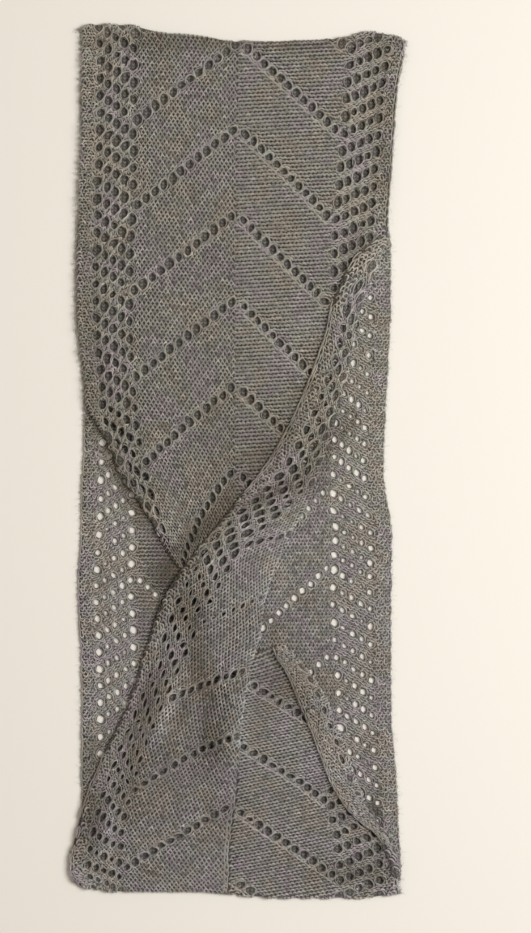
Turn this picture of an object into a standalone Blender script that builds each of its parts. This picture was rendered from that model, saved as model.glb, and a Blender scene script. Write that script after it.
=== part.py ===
"""Infinity scarf laid flat: one knitted lace strip, grafted end to end with a half twist.

The strip is a wall of cloth. Its own flat coordinates are u, across it, and v, along it from the top fold,
both in millimetres. Each stretch that shows is a node: a patch of the strip with its own outline in (u, v),
and a surface that carries (u, v) to where the stretch lies. Chevron and border eyelets are cut through.
X is to the right, Y to the upper end of the laid scarf, Z up. Sizes are millimetres until a mesh is made.
"""
import bpy
import numpy as np
from mathutils import Matrix, Vector
from mathutils.geometry import delaunay_2d_cdt

MM = 0.001


def table(columns, rows):
    """A table as a dictionary: column name to the column's numbers."""
    return dict(zip(columns.split(), np.array(rows, float).T))


# Cloth
STRIP_WIDTH = 248.0
SPINE = STRIP_WIDTH / 2
WALL = 2.2
GAP = 0.3                                  # between layers, and between stretches that meet side by side
LAYER_STEP = WALL + GAP
GRID = 17.0                                # spacing of the points of a wall
BACK_GRID = 24.0
EDGE_ROOM = 0.3                            # share of that spacing kept free beside edges and folds
EYELET_ROOM = 0.22                         # and beside its eyelets

# Folds: the cloth turns round a half circle and goes back under itself for a short way
FOLD_RADIUS = LAYER_STEP / 2
FOLD_REACH = FOLD_RADIUS + WALL / 2        # from the fold's start to its outer face
HALF_TURN = np.pi * FOLD_RADIUS
TURN_UNDER = 8.0
WHOLE_TURN = HALF_TURN + TURN_UNDER
FOLD_ROWS = [0.0, 0.25, 0.5, 0.75, 1.0]    # lines of points round a fold, as parts of the half circle
ROLLED = 0.8                               # the most of a loose fold that these lines go round
LOOSE_ROOM = 1.5                           # walls of room at an edge where nothing is turned under

# Lace: rows of eyelets go down to both sides from the spine, and a mesh border follows both edges
CHEVRON = 68.6                             # one repeat along the strip
FIRST_POINT = 2.4
EYELETS_PER_ARM = 12
BORDER_LINE = 43.5                         # innermost line of border eyelets, from the edge
BORDER_PITCH = CHEVRON / 5
BORDER_FIRST = 5.6
EYELET_RADIUS = 2.4
EYELET_SIDES = 6
EYELET_MARGIN = 3.2                        # from an eyelet's centre to an edge or a fold
EYELETS_APART = 0.8                        # least cloth between two eyelets

# Arms of the chevrons, as (across, along): the first eyelet from the point, and the next. Some bend.
KNIT_ARM = dict(start=(2.4, 0.8), step=(6.8, 5.4), bend=0.0)
PURL_ARM = dict(start=(7.2, 4.0), step=(6.0, 5.84), bend=0.0)
LAST_KNIT_ARM = dict(start=(4.0, 0.2), step=(5.8, 6.5), bend=0.0)
LOWER_KNIT_ARMS = [dict(start=(0.6, 8.5), step=(6.7, 3.7), bend=0.0),
                   dict(start=(7.4, 4.0), step=(6.5, 2.6), bend=0.235),
                   dict(start=(7.2, 2.7), step=(6.14, 5.4), bend=0.0)]
LOWER_PURL_ARM = dict(start=(3.2, -1.0), step=(6.5, 6.1), bend=0.0)
BACK_KNIT_ARM = dict(start=(3.2, 2.0), step=(6.32, 5.9), bend=0.0)
BACK_PURL_ARM = dict(start=(8.0, -5.5), step=(6.0, 5.76), bend=0.0)
BACK_POINTS = [214.8, 283.4, 352.0, 428.9, 489.2, 560.0, 626.4]    # v of the back layer's chevron points

# Back layer: where some rows of the innermost line of border eyelets lie, on the left and on the right
BACK_LEFT_MESH = table("row v u", [
    (0, 301, 41), (3, 347, 41), (6, 389, 41.5), (12, 470, 43), (20, 579, 43)])
BACK_RIGHT_MESH = table("row v u", [
    (0, 190, 207), (5, 266, 207), (10, 335, 207), (13, 378, 203.6), (17, 426, 202), (20, 468, 202.6),
    (25, 538, 206.6), (32, 637, 206.6)])

TOP_Y = 335.2                              # y of the upper front at v = 0


# The outline of the laid scarf, from the top left corner down each side, and along both ends
LEFT_SIDE = table("y x", [
    (344, -126), (273, -126), (194, -129), (146, -130), (104, -129), (63, -124), (14, -123), (-18, -125),
    (-67, -126), (-100, -128), (-144, -126), (-191, -125), (-278, -125), (-302, -130), (-322, -135),
    (-334, -133), (-342, -127)])
RIGHT_SIDE = table("y x", [
    (336, 134), (328, 134), (297, 129), (257, 126), (218, 123), (194, 121), (168, 124), (128, 124),
    (63, 121), (22, 119), (-2, 118), (-35, 121), (-59, 125), (-112, 124), (-191, 124), (-230, 126),
    (-264, 129), (-294, 130), (-326, 132), (-347, 130)])
TOP_END = table("x y", [
    (-127, 345), (-120, 348), (-86, 349), (-70, 344), (-31, 340), (-7, 336), (17, 335), (48, 336),
    (69, 337), (90, 339), (105, 343), (126, 340), (135, 335)])
BOTTOM_END = table("x y", [
    (-135, -334), (-125, -341), (-114, -344), (-97, -346), (-66, -346), (-35, -346), (-3, -348), (26, -351),
    (66, -351), (113, -350), (131, -347)])

# Upper front, face one of the strip: x of five lines of stitches. Its y is TOP_Y - v.
UPPER_LINES = [0.0, 44.0, SPINE, 204.0, STRIP_WIDTH]
UPPER = table("v edge border spine far_border far_edge", [
    (-14, -126, -86, 1, 92, 134), (7, -126, -82, 1, 91, 134), (38, -126, -82, 0, 88, 129),
    (78, -127, -82, -1, 85, 126), (118, -129, -82, -1, 81, 123), (152, -129, -84, -2, 78, 121),
    (189, -130, -85, -2, 77, 120), (231, -129, -85, -2, 77, 121), (272, -124, -83, -2, 77, 121),
    (309, -122, -80, -2, 77, 121), (351, -114, -72, -2, 77, 121), (396, -100, -58, -2, 76, 121),
    (426, -89, -47, -1, 74, 118), (448, -70, -33, 2, 68, 108), (480, -38, -17, 6, 42, 58)])
TIP_ROOM = 2.0                             # between its right side and the crossing's tip
LEFT_STEP = 12.0                           # spacing of the points along its left fold
UPPER_END = 478.0                          # v of its seam's end below the crossing's fold
# Where its left side turns under: u of that fold, and how much of the fold is there
UPPER_FOLD = table("v fold_u turned", [
    (-30, 0, 0), (285, 0, 0), (300, 8, 0.3), (313, 14, 0.6), (330, 19, 1), (347, 23, 1), (375, 34, 1),
    (385, 37, 0.8), (399, 40, 0.4), (410, 43, 0), (426, 52, 0), (440, 76, 0), (455, 103, 0), (480, 122, 0)])

# Crossing, face two: it comes over the right fold, crosses to the left and runs down to the bottom end.
# Three points of each row of stitches: at the free edge, on the border line, and at the fold or the spine.
# Layers are their heights. turned is how much of the fold is there.
CROSSING = table(
    "v edge_u edge_x edge_y mid_u mid_x mid_y fold_u fold_x fold_y "
    "edge_layer mid_layer fold_layer turned", [
        (157, 0, 119, 184, 2, 120, 182, 4, 122, 179, 2, 2, 2, 0.35),
        (172, 0, 100, 170, 8, 107, 167, 16, 115, 163, 2, 2, 2, 0.8),
        (189, 0, 86, 152, 11, 97, 148, 22, 108, 142, 2, 2, 2, 1),
        (206, 0, 76, 127, 16, 89, 122, 27, 98, 118, 2, 2, 2, 1),
        (234, 0, 70, 102, 18, 84, 94, 27, 93, 90, 2, 2, 2, 1),
        (261, 0, 60, 73, 18, 75, 66, 33, 87, 61, 2, 2, 2, 1),
        (288, 0, 49, 46, 18, 64, 39, 37, 80, 32, 2, 2, 2, 1),
        (316, 0, 37, 21, 20, 53, 12, 42, 70, 3, 2, 2, 2, 1),
        (343, 0, 22, -4, 36, 50, -19, 51, 60, -26, 2, 2, 2, 1),
        (362, 0, 10, -19, 44, 42, -35, 62, 53, -41, 2, 2, 2, 1),
        (390, 7, -6, -40, 44, 21, -54, 74, 40, -65, 2, 2, 2, 1),
        (418, 11, -25, -63, 44, -1, -76, 85, 29, -90, 2, 2, 2, 1),
        (445, 6, -43, -86, 44, -14, -101, 90, 22, -114, 2, 2, 2, 1),
        (472, 3, -58, -110, 44, -28, -127, 98, 18, -142, 2, 2, 3, 1),
        (500, 2, -70, -142, 44, -41, -155, 107, 10, -168, 1.1, 1.6, 3, 1),
        (527, 3, -80, -173, 44, -54, -184, 113, 6, -194, 1, 1, 3, 1),
        (554, 4, -90, -203, 44, -67, -213, 117, 3, -220, 1, 1, 3, 1),
        (568, 3, -97, -216, 44, -72, -226, 119, 2, -232, 1, 1, 2.8, 0.4),
        (582, 2, -104, -230, 44, -77, -240, 121, 1, -245, 1, 1, 2.1, 0),
        (594, 1, -110, -242, 44, -80, -250, 122, 0, -256, 1, 1, 1.9, 0),
        (610, 0, -117, -257, 44, -83, -262, 123, -2, -269, 1, 1, 1.2, 0),
        (637, 0, -126, -284, 44, -90, -286, 124, -5, -293, 1, 1, 1, 0),
        (650, 0, -130, -302, 44, -92, -298, 124, -6, -304, 1, 1, 1, 0),
        (665, 0, -134, -318, 44, -93, -310, 124, -7, -316, 1, 1, 1, 0),
        (678, 0, -134, -329, 44, -94, -322, 124, -7, -328, 1, 1, 1, 0),
        (707, 0, -127, -345, 44, -93, -347, 124, -8, -350, 1, 1, 1, 0),
        (737, 0, -126, -375, 44, -93, -377, 124, -8, -380, 1, 1, 1, 0)])
CROSSING_POINTS = ("edge", "mid", "fold")
FLAT_BY_FOLD = 14.0                        # beside a raised fold the cloth is level, and then comes down
RAMP = 22.0

# Lower right, face two: from under the crossing's fold, or the spine, to the flap's fold or the right side.
# under is how far it goes on below the crossing.
LOWER = table("v left_u left_x left_y right_u right_x right_y under", [
    (468, 152, 20, -147, 171, 38, -145, 12), (480, 150, 17, -162, 181, 49, -157, 12),
    (500, 147, 14, -181, 194, 66, -176, 12), (532, 144, 10, -206, 208, 79, -201, 12),
    (565, 140, 6, -232, 214, 90, -226, 11), (580, 137, 4, -245, 220, 94, -240, 7),
    (596, 134, 2, -258, 225, 98, -251, 0), (626, 126, -4, -284, 238, 109, -277, 0),
    (656, 124, -6.7, -309, 246, 125, -302, 0), (680, 124, -7.6, -329, 248, 130, -324, 0),
    (707, 124, -7.6, -351, 248, 130, -350, 0), (737, 124, -7.6, -381, 248, 130, -380, 0)])
LOWER_POINTS = ("left", "right")
SPINE_SEAM = 594.0                         # v from which the crossing and the lower right meet at the spine
END_ROWS = np.linspace(680, 737, 120)      # v among which the start of the bottom fold is looked for

# Flap, face one again: the far border folded back over the lower right
FLAP = table("v fold_u fold_x fold_y edge_x edge_y turned", [
    (472, 236, 38, -149, 28, -149, 0.4), (480, 230, 43, -154, 30, -155, 0.7),
    (504, 224, 58, -170, 40, -172, 1), (528, 222, 70, -188, 49, -194, 1), (552, 221, 78, -207, 58, -215, 1),
    (576, 221, 86, -229, 66, -236, 1), (600, 222, 94, -253, 74, -257, 1),
    (612, 223, 99, -264, 79, -266, 0.6), (624, 224, 103, -274, 84, -274, 0.3),
    (636, 226, 108, -284, 91, -283, 0), (648, 229, 114, -295, 99, -290, 0),
    (668, 236, 125, -308, 112, -301, 0), (694, 243, 130, -333, 122, -331, 0)])
FLAP_STEP = 10.0                           # spacing of the points along the flap
# Lower right beyond v of 632 at the flap's fold
CORNER_FROM = 632.0
LOWER_CORNER = [(112.0, -289.0), (122.0, -301.0), (129.0, -318.0), (130.0, -336.0)]


def read(tab, column, along):
    """A column at any place along the table, on a smooth curve through its rows."""
    keys = list(tab)
    x, y = tab[keys[0]], tab[column]
    if x[0] > x[-1]:
        x, y = x[::-1], y[::-1]
    steps = np.diff(y) / np.diff(x)
    slopes = np.concatenate([steps[:1], (steps[1:] + steps[:-1]) / 2, steps[-1:]])
    flat = np.concatenate([[False], steps[1:] * steps[:-1] <= 0, [False]])
    slopes[flat] = 0.0
    at = np.clip(along, x[0], x[-1])
    i = np.clip(np.searchsorted(x, at) - 1, 0, len(x) - 2)
    width = x[i + 1] - x[i]
    t = (at - x[i]) / width
    blend = t * t * (3 - 2 * t)
    ease = width * (t * (1 - t) ** 2 * slopes[i] - t * t * (1 - t) * slopes[i + 1])
    return y[i] * (1 - blend) + y[i + 1] * blend + ease


def smoothstep(t):
    t = np.clip(t, 0.0, 1.0)
    return t * t * (3 - 2 * t)


def height(layer):
    return WALL / 2 + layer * LAYER_STEP


def turn(past):
    """Past a fold's start: how far out the cloth lies, and how far below the upper layer."""
    angle = np.pi * np.clip(past / HALF_TURN, 0.0, 1.0)
    back = np.maximum(past - HALF_TURN, 0.0)
    return FOLD_RADIUS * np.sin(angle) - back, FOLD_RADIUS * (1 - np.cos(angle))


def end_folds(x, y, z):
    """Takes what lies past the top or bottom end round its fold, down by one layer."""
    top = read(TOP_END, "y", x) - FOLD_REACH
    bottom = read(BOTTOM_END, "y", x) + FOLD_REACH
    out_top, drop_top = turn(np.maximum(y - top, 0.0))
    out_bottom, drop_bottom = turn(np.maximum(bottom - y, 0.0))
    z = z - np.where(y > top, drop_top, 0.0) - np.where(y < bottom, drop_bottom, 0.0)
    y = np.where(y > top, top + out_top, np.where(y < bottom, bottom - out_bottom, y))
    return x, y, z


def back_layer(u, v):
    y = TOP_Y - v
    left = read(LEFT_SIDE, "x", y)
    right = read(RIGHT_SIDE, "x", y)
    return left + (right - left) * u / STRIP_WIDTH, y, np.full_like(u, height(0))


def upper_x(u, v):
    columns = [read(UPPER, name, v) for name in ("edge", "border", "spine", "far_border", "far_edge")]
    x = columns[0] + (columns[1] - columns[0]) * (u - UPPER_LINES[0]) / (UPPER_LINES[1] - UPPER_LINES[0])
    for n in range(1, 4):
        part = (u - UPPER_LINES[n]) / (UPPER_LINES[n + 1] - UPPER_LINES[n])
        x = np.where(u > UPPER_LINES[n], columns[n] + (columns[n + 1] - columns[n]) * part, x)
    return x


def fold_length(tab, v):
    """How far the strip goes on past the start of a stretch's side fold."""
    return WHOLE_TURN * np.clip(read(tab, "turned", v), 0.0, 1.0)


def upper_front(u, v):
    fold = read(UPPER_FOLD, "fold_u", v)
    length = fold_length(UPPER_FOLD, v)
    out, drop = turn(np.maximum(fold - u, 0.0))
    inset = FOLD_REACH * np.clip(length / HALF_TURN, 0, 1) * (1 - smoothstep((u - fold) / RAMP))
    x = upper_x(np.maximum(u, fold), v) + inset - np.where(u < fold, out, 0.0)
    rise = turn(length)[1] / LAYER_STEP * (1 - smoothstep((u - fold - FLAT_BY_FOLD) / RAMP))
    return end_folds(x, TOP_Y - v, height(1 + rise) - np.where(u < fold, drop, 0.0))


def crossing(u, v):
    row = {name: read(CROSSING, name, v) for name in CROSSING}
    outer = np.clip((u - row["edge_u"]) / (row["mid_u"] - row["edge_u"]), 0, 1)
    inner = np.clip((u - row["mid_u"]) / (row["fold_u"] - row["mid_u"]), 0, 1)
    past = np.maximum(u - row["fold_u"], 0.0)
    way_x = row["fold_x"] - row["mid_x"]
    way_y = row["fold_y"] - row["mid_y"]
    length = np.hypot(way_x, way_y)
    out, drop = turn(past)
    inset = FOLD_REACH * np.clip(fold_length(CROSSING, v) / HALF_TURN, 0, 1)
    along = (inner * (length - inset) + out) / length
    x = row["edge_x"] + (row["mid_x"] - row["edge_x"]) * outer + way_x * along
    y = row["edge_y"] + (row["mid_y"] - row["edge_y"]) * outer + way_y * along
    layer = row["edge_layer"] + (row["mid_layer"] - row["edge_layer"]) * outer
    ramp = smoothstep(1 - (row["fold_u"] - FLAT_BY_FOLD - u) / RAMP)
    layer = layer + (row["fold_layer"] - row["mid_layer"]) * ramp
    return end_folds(x, y, height(layer) - drop)


def lower_right(u, v):
    row = {name: read(LOWER, name, v) for name in LOWER}
    part = (u - row["left_u"]) / (row["right_u"] - row["left_u"])
    x = row["left_x"] + (row["right_x"] - row["left_x"]) * part
    y = row["left_y"] + (row["right_y"] - row["left_y"]) * part
    return end_folds(x, y, np.full_like(u, height(1)))


def flap(u, v):
    row = {name: read(FLAP, name, v) for name in FLAP}
    part = np.clip((u - row["fold_u"]) / (STRIP_WIDTH - row["fold_u"]), 0, 1)
    way_x = row["edge_x"] - row["fold_x"]
    way_y = row["edge_y"] - row["fold_y"]
    width = np.hypot(way_x, way_y)
    inset = FOLD_REACH * np.clip(fold_length(FLAP, v) / HALF_TURN, 0, 1)
    out, drop = turn(np.maximum(row["fold_u"] - u, 0.0))
    along = inset + (width - inset) * part - out
    return row["fold_x"] + way_x * along / width, row["fold_y"] + way_y * along / width, height(2) - drop


def span(first, last, step):
    count = max(2, int(round(abs(last - first) / step)) + 1)
    return np.linspace(first, last, count)


def places(surface, line):
    """A line of flat coordinates as seen from above."""
    u, v = np.array(line, float).T
    return np.array(surface(u, v))[:2].T


def unroll(surface, points, guess):
    """Flat coordinates of where a surface lies over the points, looked for from the line u = guess."""
    goal = np.array(points, float)
    flat = np.column_stack([np.full(len(goal), guess), TOP_Y - goal[:, 1]])
    small, longest = 0.01, 20.0
    for _ in range(20):
        here = places(surface, flat)
        du = (places(surface, flat + [small, 0]) - here) / small
        dv = (places(surface, flat + [0, small]) - here) / small
        miss = goal - here
        size = du[:, 0] * dv[:, 1] - du[:, 1] * dv[:, 0]
        flat[:, 0] += np.clip((miss[:, 0] * dv[:, 1] - miss[:, 1] * dv[:, 0]) / size, -longest, longest)
        flat[:, 1] += np.clip((du[:, 0] * miss[:, 1] - du[:, 1] * miss[:, 0]) / size, -longest, longest)
    return [tuple(point) for point in flat.tolist()]


def seam_beside(surface, edge, turned):
    """A line on the table a gap away from a folded edge, and a little more where the fold is loose."""
    loose = WALL * (1 - np.clip(turned, 0, 1))
    return beside(places(surface, edge), -GAP - loose * LOOSE_ROOM)


def pairs(us, vs):
    """A line of (u, v) from a list of u and a list of v."""
    return list(zip(np.asarray(us, float).tolist(), np.asarray(vs, float).tolist()))


def beside(line, distance):
    """A line moved sideways, to the left of its own direction."""
    points = np.array(line, float)
    way = np.gradient(points, axis=0)
    way /= np.hypot(*way.T)[:, None]
    return points + np.stack([-way[:, 1], way[:, 0]], axis=1) * np.reshape(distance, (-1, 1))


def end_v(tab, names, u, past):
    """v at which the line of stitches u has gone past the start of the bottom fold by some length."""
    us, xs, ys = ([read(tab, name + end, END_ROWS) for name in names] for end in ("_u", "_x", "_y"))
    y = np.array([np.interp(u, [c[k] for c in us], [c[k] for c in ys]) for k in range(len(END_ROWS))])
    x = np.array([np.interp(u, [c[k] for c in us], [c[k] for c in xs]) for k in range(len(END_ROWS))])
    return float(np.interp(past, read(BOTTOM_END, "y", x) + FOLD_REACH - y, END_ROWS))


def end_rows(tab, names, us):
    """Lines of points round the bottom fold, and last the cloth's own end."""
    pasts = [HALF_TURN * part for part in FOLD_ROWS] + [WHOLE_TURN]
    return [[(float(u), end_v(tab, names, u, past)) for u in us] for past in pasts]


def side_rows(tab, vs, sign):
    """Lines of points round a side fold where it is well turned. sign is the way u goes past the fold."""
    length = fold_length(tab, vs)
    vs, length = vs[length > HALF_TURN / 2], length[length > HALF_TURN / 2]
    fold = read(tab, "fold_u", vs)
    round_it = np.minimum(HALF_TURN, ROLLED * length)
    return [pairs(fold + sign * round_it * part, vs) for part in FOLD_ROWS]


def shape_upper():
    us = span(0, STRIP_WIDTH, GRID)
    x = upper_x(us, np.full_like(us, UPPER["v"][0]))
    start = TOP_Y - read(TOP_END, "y", x) + FOLD_REACH
    pasts = [HALF_TURN * part for part in FOLD_ROWS] + [WHOLE_TURN]
    rows = [pairs(us, start - past) for past in pasts]
    right_corner, left_corner = [row[-1] for row in rows[-2::-1]], [row[0] for row in rows[:-1]]
    tip = TOP_Y - CROSSING["edge_y"][0]
    right = [(STRIP_WIDTH, float(v)) for v in span(rows[0][-1][1], tip - TIP_ROOM, GRID)[1:]]
    under = span(CROSSING["v"][0], UPPER_END, GRID)
    edge = pairs(read(CROSSING, "fold_u", under) + fold_length(CROSSING, under), under)
    seam = seam_beside(crossing, edge, read(CROSSING, "turned", under))
    seam = seam[seam[:, 1] < CROSSING["edge_y"][0] - 2 * TIP_ROOM]
    right += unroll(upper_front, seam, 150.0)
    unfolded = UPPER_FOLD["v"][1]
    left_vs = span(right[-1][1], unfolded, LEFT_STEP)
    left = pairs(read(UPPER_FOLD, "fold_u", left_vs) - fold_length(UPPER_FOLD, left_vs), left_vs)
    left += [(0.0, float(v)) for v in span(unfolded, rows[0][0][1], GRID)[1:-1]]
    guides = rows[:-1] + side_rows(UPPER_FOLD, left_vs, -1)
    return rows[-1] + right_corner + right + left + left_corner, guides


def shape_crossing():
    rows = end_rows(CROSSING, CROSSING_POINTS, span(SPINE, 0, GRID))
    tip = CROSSING["v"][0]
    under = span(tip, UPPER_END, GRID)
    lower = span(UPPER_END, SPINE_SEAM, GRID)[1:]
    spine = span(SPINE_SEAM, rows[0][0][1], GRID)[1:-1]
    vs = np.concatenate([under, lower, spine])
    right = pairs(read(CROSSING, "fold_u", vs) + fold_length(CROSSING, vs), vs)
    right += [row[0] for row in rows[:-1]]
    left_vs = span(rows[0][-1][1], tip, GRID)
    left = [row[-1] for row in rows[-2:0:-1]]
    left += pairs(read(CROSSING, "edge_u", left_vs), left_vs)
    guides = rows[:-1] + side_rows(CROSSING, np.concatenate([under, lower]), 1)
    return right + rows[-1] + left, guides


def shape_lower():
    rows = end_rows(LOWER, LOWER_POINTS, span(STRIP_WIDTH, SPINE, GRID))
    flap_vs = span(FLAP["v"][0], FLAP["v"][-1], FLAP_STEP)
    flap_vs = flap_vs[flap_vs < CORNER_FROM]
    edge = pairs(read(FLAP, "fold_u", flap_vs) - fold_length(FLAP, flap_vs), flap_vs)
    seam = np.vstack([seam_beside(flap, edge, read(FLAP, "turned", flap_vs)), LOWER_CORNER])
    right = unroll(lower_right, seam, 190.0)
    right += [row[0] for row in rows[:-1]]
    spine_vs = span(SPINE_SEAM, end_v(CROSSING, CROSSING_POINTS, SPINE, 0.0), GRID)
    seam = beside(places(crossing, pairs(read(CROSSING, "fold_u", spine_vs), spine_vs)), GAP)[:-1]
    meeting = unroll(lower_right, seam, 130.0)
    left_vs = span(meeting[0][1] - GRID / 2, right[0][1], GRID)
    left = [row[-1] for row in rows[-2::-1]] + meeting[::-1]
    left += pairs(read(LOWER, "left_u", left_vs) - read(LOWER, "under", left_vs), left_vs)
    return right + rows[-1] + left, rows[:-1]


def shape_flap():
    vs = span(FLAP["v"][0], FLAP["v"][-1], FLAP_STEP)
    outer = pairs(read(FLAP, "fold_u", vs) - fold_length(FLAP, vs), vs)
    free = [(STRIP_WIDTH, float(v)) for v in vs]
    return free + outer[::-1], side_rows(FLAP, vs, -1)


def shape_back(ends):
    """The back layer stops short of both end folds, which belong to the front stretches."""
    top, bottom = ends
    lines = []
    for line, sign in ((top, -1), (bottom, 1)):
        x = np.array(line)[:, 0]
        y = np.array(line)[:, 1] + sign * GAP
        left, right = read(LEFT_SIDE, "x", y), read(RIGHT_SIDE, "x", y)
        u = np.clip(STRIP_WIDTH * (x - left) / (right - left), 0.0, STRIP_WIDTH)
        lines.append(pairs(u, TOP_Y - y))
    top, bottom = lines
    top = [(0.0, top[0][1])] * (top[0][0] > 0) + top
    top += [(STRIP_WIDTH, top[-1][1])] * (top[-1][0] < STRIP_WIDTH)
    bottom = [(STRIP_WIDTH, bottom[0][1])] * (bottom[0][0] < STRIP_WIDTH) + bottom
    bottom += [(0.0, bottom[-1][1])] * (bottom[-1][0] > 0)
    right = [(STRIP_WIDTH, float(v)) for v in span(top[-1][1], bottom[0][1], BACK_GRID)[1:-1]]
    left = [(0.0, float(v)) for v in span(bottom[-1][1], top[0][1], BACK_GRID)[1:-1]]
    return top + right + bottom + left, []


def inside(points, polygon):
    """Which of the points lie inside the polygon."""
    points = np.atleast_2d(points)
    ring = np.array(polygon)
    result = np.zeros(len(points), bool)
    for (ax, ay), (bx, by) in zip(ring, np.roll(ring, -1, axis=0)):
        if ay != by:
            crosses = (ay > points[:, 1]) != (by > points[:, 1])
            result ^= crosses & (points[:, 0] < ax + (points[:, 1] - ay) * (bx - ax) / (by - ay))
    return result


def distance_to(points, line, closed=True):
    """How far each point is from a line."""
    starts = np.array(line)
    ends = np.roll(starts, -1, axis=0)
    if not closed:
        starts, ends = starts[:-1], ends[:-1]
    best = np.full(len(points), np.inf)
    for a, b in zip(starts, ends):
        way = b - a
        t = np.clip(((points - a) @ way) / max(way @ way, 1e-9), 0, 1)
        best = np.minimum(best, np.hypot(*(points - a - t[:, None] * way).T))
    return best


def clearance(points, outline, guides):
    """How far each point is from the outline and from the fold lines."""
    best = distance_to(points, outline)
    for line in guides:
        if len(line) > 1:
            best = np.minimum(best, distance_to(points, line, closed=False))
    return best


def grid_points(outline, guides, eyelets, step):
    """Points of a wall between its outline, its fold lines and its eyelets, on a staggered grid."""
    ring = np.array(outline)
    low, high = ring.min(axis=0), ring.max(axis=0)
    points = []
    for n, v in enumerate(np.arange(low[1] + step / 2, high[1], step)):
        points += [(u, v) for u in np.arange(low[0] + step * (n % 2 + 1) / 2, high[0], step)]
    points = np.array(points)
    points = points[inside(points, outline) & (clearance(points, outline, guides) > step * EDGE_ROOM)]
    room = EYELET_RADIUS + step * EYELET_ROOM
    clear = [all(np.hypot(*(point - hole)) > room for hole in eyelets) for point in points]
    return points[np.array(clear, bool)]


def arm(style, sign):
    """Eyelets of one arm of a chevron, from the spine towards one edge, as (u, v) from its point."""
    (u0, v0), (du, dv), bend = style["start"], style["step"], style["bend"]
    return [(SPINE + sign * (u0 + du * i), v0 + dv * i + bend * i * i) for i in range(EYELETS_PER_ARM)]


def chevrons(first, last, left_style, right_style):
    """Eyelets of the chevrons first to last."""
    found = []
    for k in range(first, last + 1):
        point = FIRST_POINT + CHEVRON * k
        found += [(u, point + v) for u, v in arm(left_style, -1) + arm(right_style, 1)]
    return found


def lower_chevrons(first):
    """Eyelets of the chevrons below the crossing: the cloth is drawn aside there, and each arm differs."""
    found = []
    for n, style in enumerate(LOWER_KNIT_ARMS):
        found += chevrons(first + n, first + n, style, LOWER_PURL_ARM)
    return found


def border_eyelets(first_v, last_v):
    """The innermost line of eyelets of the border."""
    vs = np.arange(BORDER_FIRST, last_v, BORDER_PITCH)
    return [(BORDER_LINE, float(v)) for v in vs if v > first_v]


def back_eyelets():
    """Chevrons of the back layer point down, and its border eyelets follow them."""
    found = []
    for point in BACK_POINTS:
        found += [(u, point - v) for u, v in arm(BACK_PURL_ARM, -1) + arm(BACK_KNIT_ARM, 1)]
    for mesh in BACK_LEFT_MESH, BACK_RIGHT_MESH:
        rows = np.arange(mesh["row"][0], mesh["row"][-1] + 1)
        found += pairs(read(mesh, "u", rows), read(mesh, "v", rows))
    return found


def showing(found, surface, shape, covers):
    """The eyelets that lie in the stretch, clear of its outline and folds, and under none of the covers."""
    outline, guides = shape
    if not found:
        return []
    points = np.array(found)
    keep = inside(points, outline) & (clearance(points, outline, guides) > EYELET_MARGIN)
    above = places(surface, points)
    for cover in covers:
        keep &= ~inside(above, cover) & (distance_to(above, cover) > EYELET_MARGIN)
    chosen = []
    for point in points[keep]:
        if all(np.hypot(*(point - other)) > 2 * EYELET_RADIUS + EYELETS_APART for other in chosen):
            chosen.append(point)
    return chosen


def wall(name, surface, shape, eyelets, step, colour):
    """One stretch of cloth as a closed wall, triangulated round its eyelets and along its folds."""
    outline, guides = shape
    points = [Vector(p) for p in outline]
    owner = [-1] * len(points)
    edges = [(i, (i + 1) % len(points)) for i in range(len(points))]
    for line in guides:
        edges += [(len(points) + i, len(points) + i + 1) for i in range(len(line) - 1)]
        points += [Vector(p) for p in line]
        owner += [-1] * len(line)
    for n, (u, v) in enumerate(eyelets):
        start = len(points)
        for k in range(EYELET_SIDES):
            angle = 2 * np.pi * (k + 0.5) / EYELET_SIDES
            points.append(Vector((u + EYELET_RADIUS * np.cos(angle), v + EYELET_RADIUS * np.sin(angle))))
            owner.append(n)
        edges += [(start + k, start + (k + 1) % EYELET_SIDES) for k in range(EYELET_SIDES)]
    for point in grid_points(outline, guides, eyelets, step):
        points.append(Vector(point))
        owner.append(-1)
    flat, _, faces, came_from, _, _ = delaunay_2d_cdt(points, edges, [], 0, 1e-3)
    owner = [owner[source[0]] if source else -1 for source in came_from]
    flat = np.array([tuple(p) for p in flat])
    centres = np.array([flat[list(face)].mean(axis=0) for face in faces])
    kept = []
    for face, good in zip(faces, inside(centres, outline)):
        owners = {owner[i] for i in face}
        if good and not (len(owners) == 1 and owners != {-1}):
            kept.append(face)
    return shell(name, surface, flat, kept, colour)


def shell(name, surface, flat, faces, colour):
    """Thickens a triangulated patch by half the wall to both sides and closes its rims."""
    u, v = flat.T
    middle = np.array(surface(u, v)).T
    normal = normals(surface, u, v)
    used = sorted({i for face in faces for i in face})
    index = {old: new for new, old in enumerate(used)}
    upper = middle[used] + normal[used] * WALL / 2
    lower = middle[used] - normal[used] * WALL / 2
    count = len(used)
    a, b, c = faces[0]
    clockwise = np.cross(flat[b] - flat[a], flat[c] - flat[a]) > 0
    tops, sides, ring_edges = [], [], set()
    for face in faces:
        ring = [index[i] for i in (face[::-1] if clockwise else face)]
        tops.append(ring)
        ring_edges.update(zip(ring, ring[1:] + ring[:1]))
    for p, q in sorted(ring_edges):
        if (q, p) not in ring_edges:
            sides += [[q, p, p + count], [q, p + count, q + count]]
    unders = [[i + count for i in ring[::-1]] for ring in tops]
    mesh = bpy.data.meshes.new(name)
    mesh.from_pydata((np.vstack([upper, lower]) * MM).tolist(), [], tops + unders + sides)
    mesh.shade_smooth()
    mesh.materials.append(yarn(name + "_yarn", colour))
    item = bpy.data.objects.new(name, mesh)
    bpy.context.collection.objects.link(item)
    return item


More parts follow.
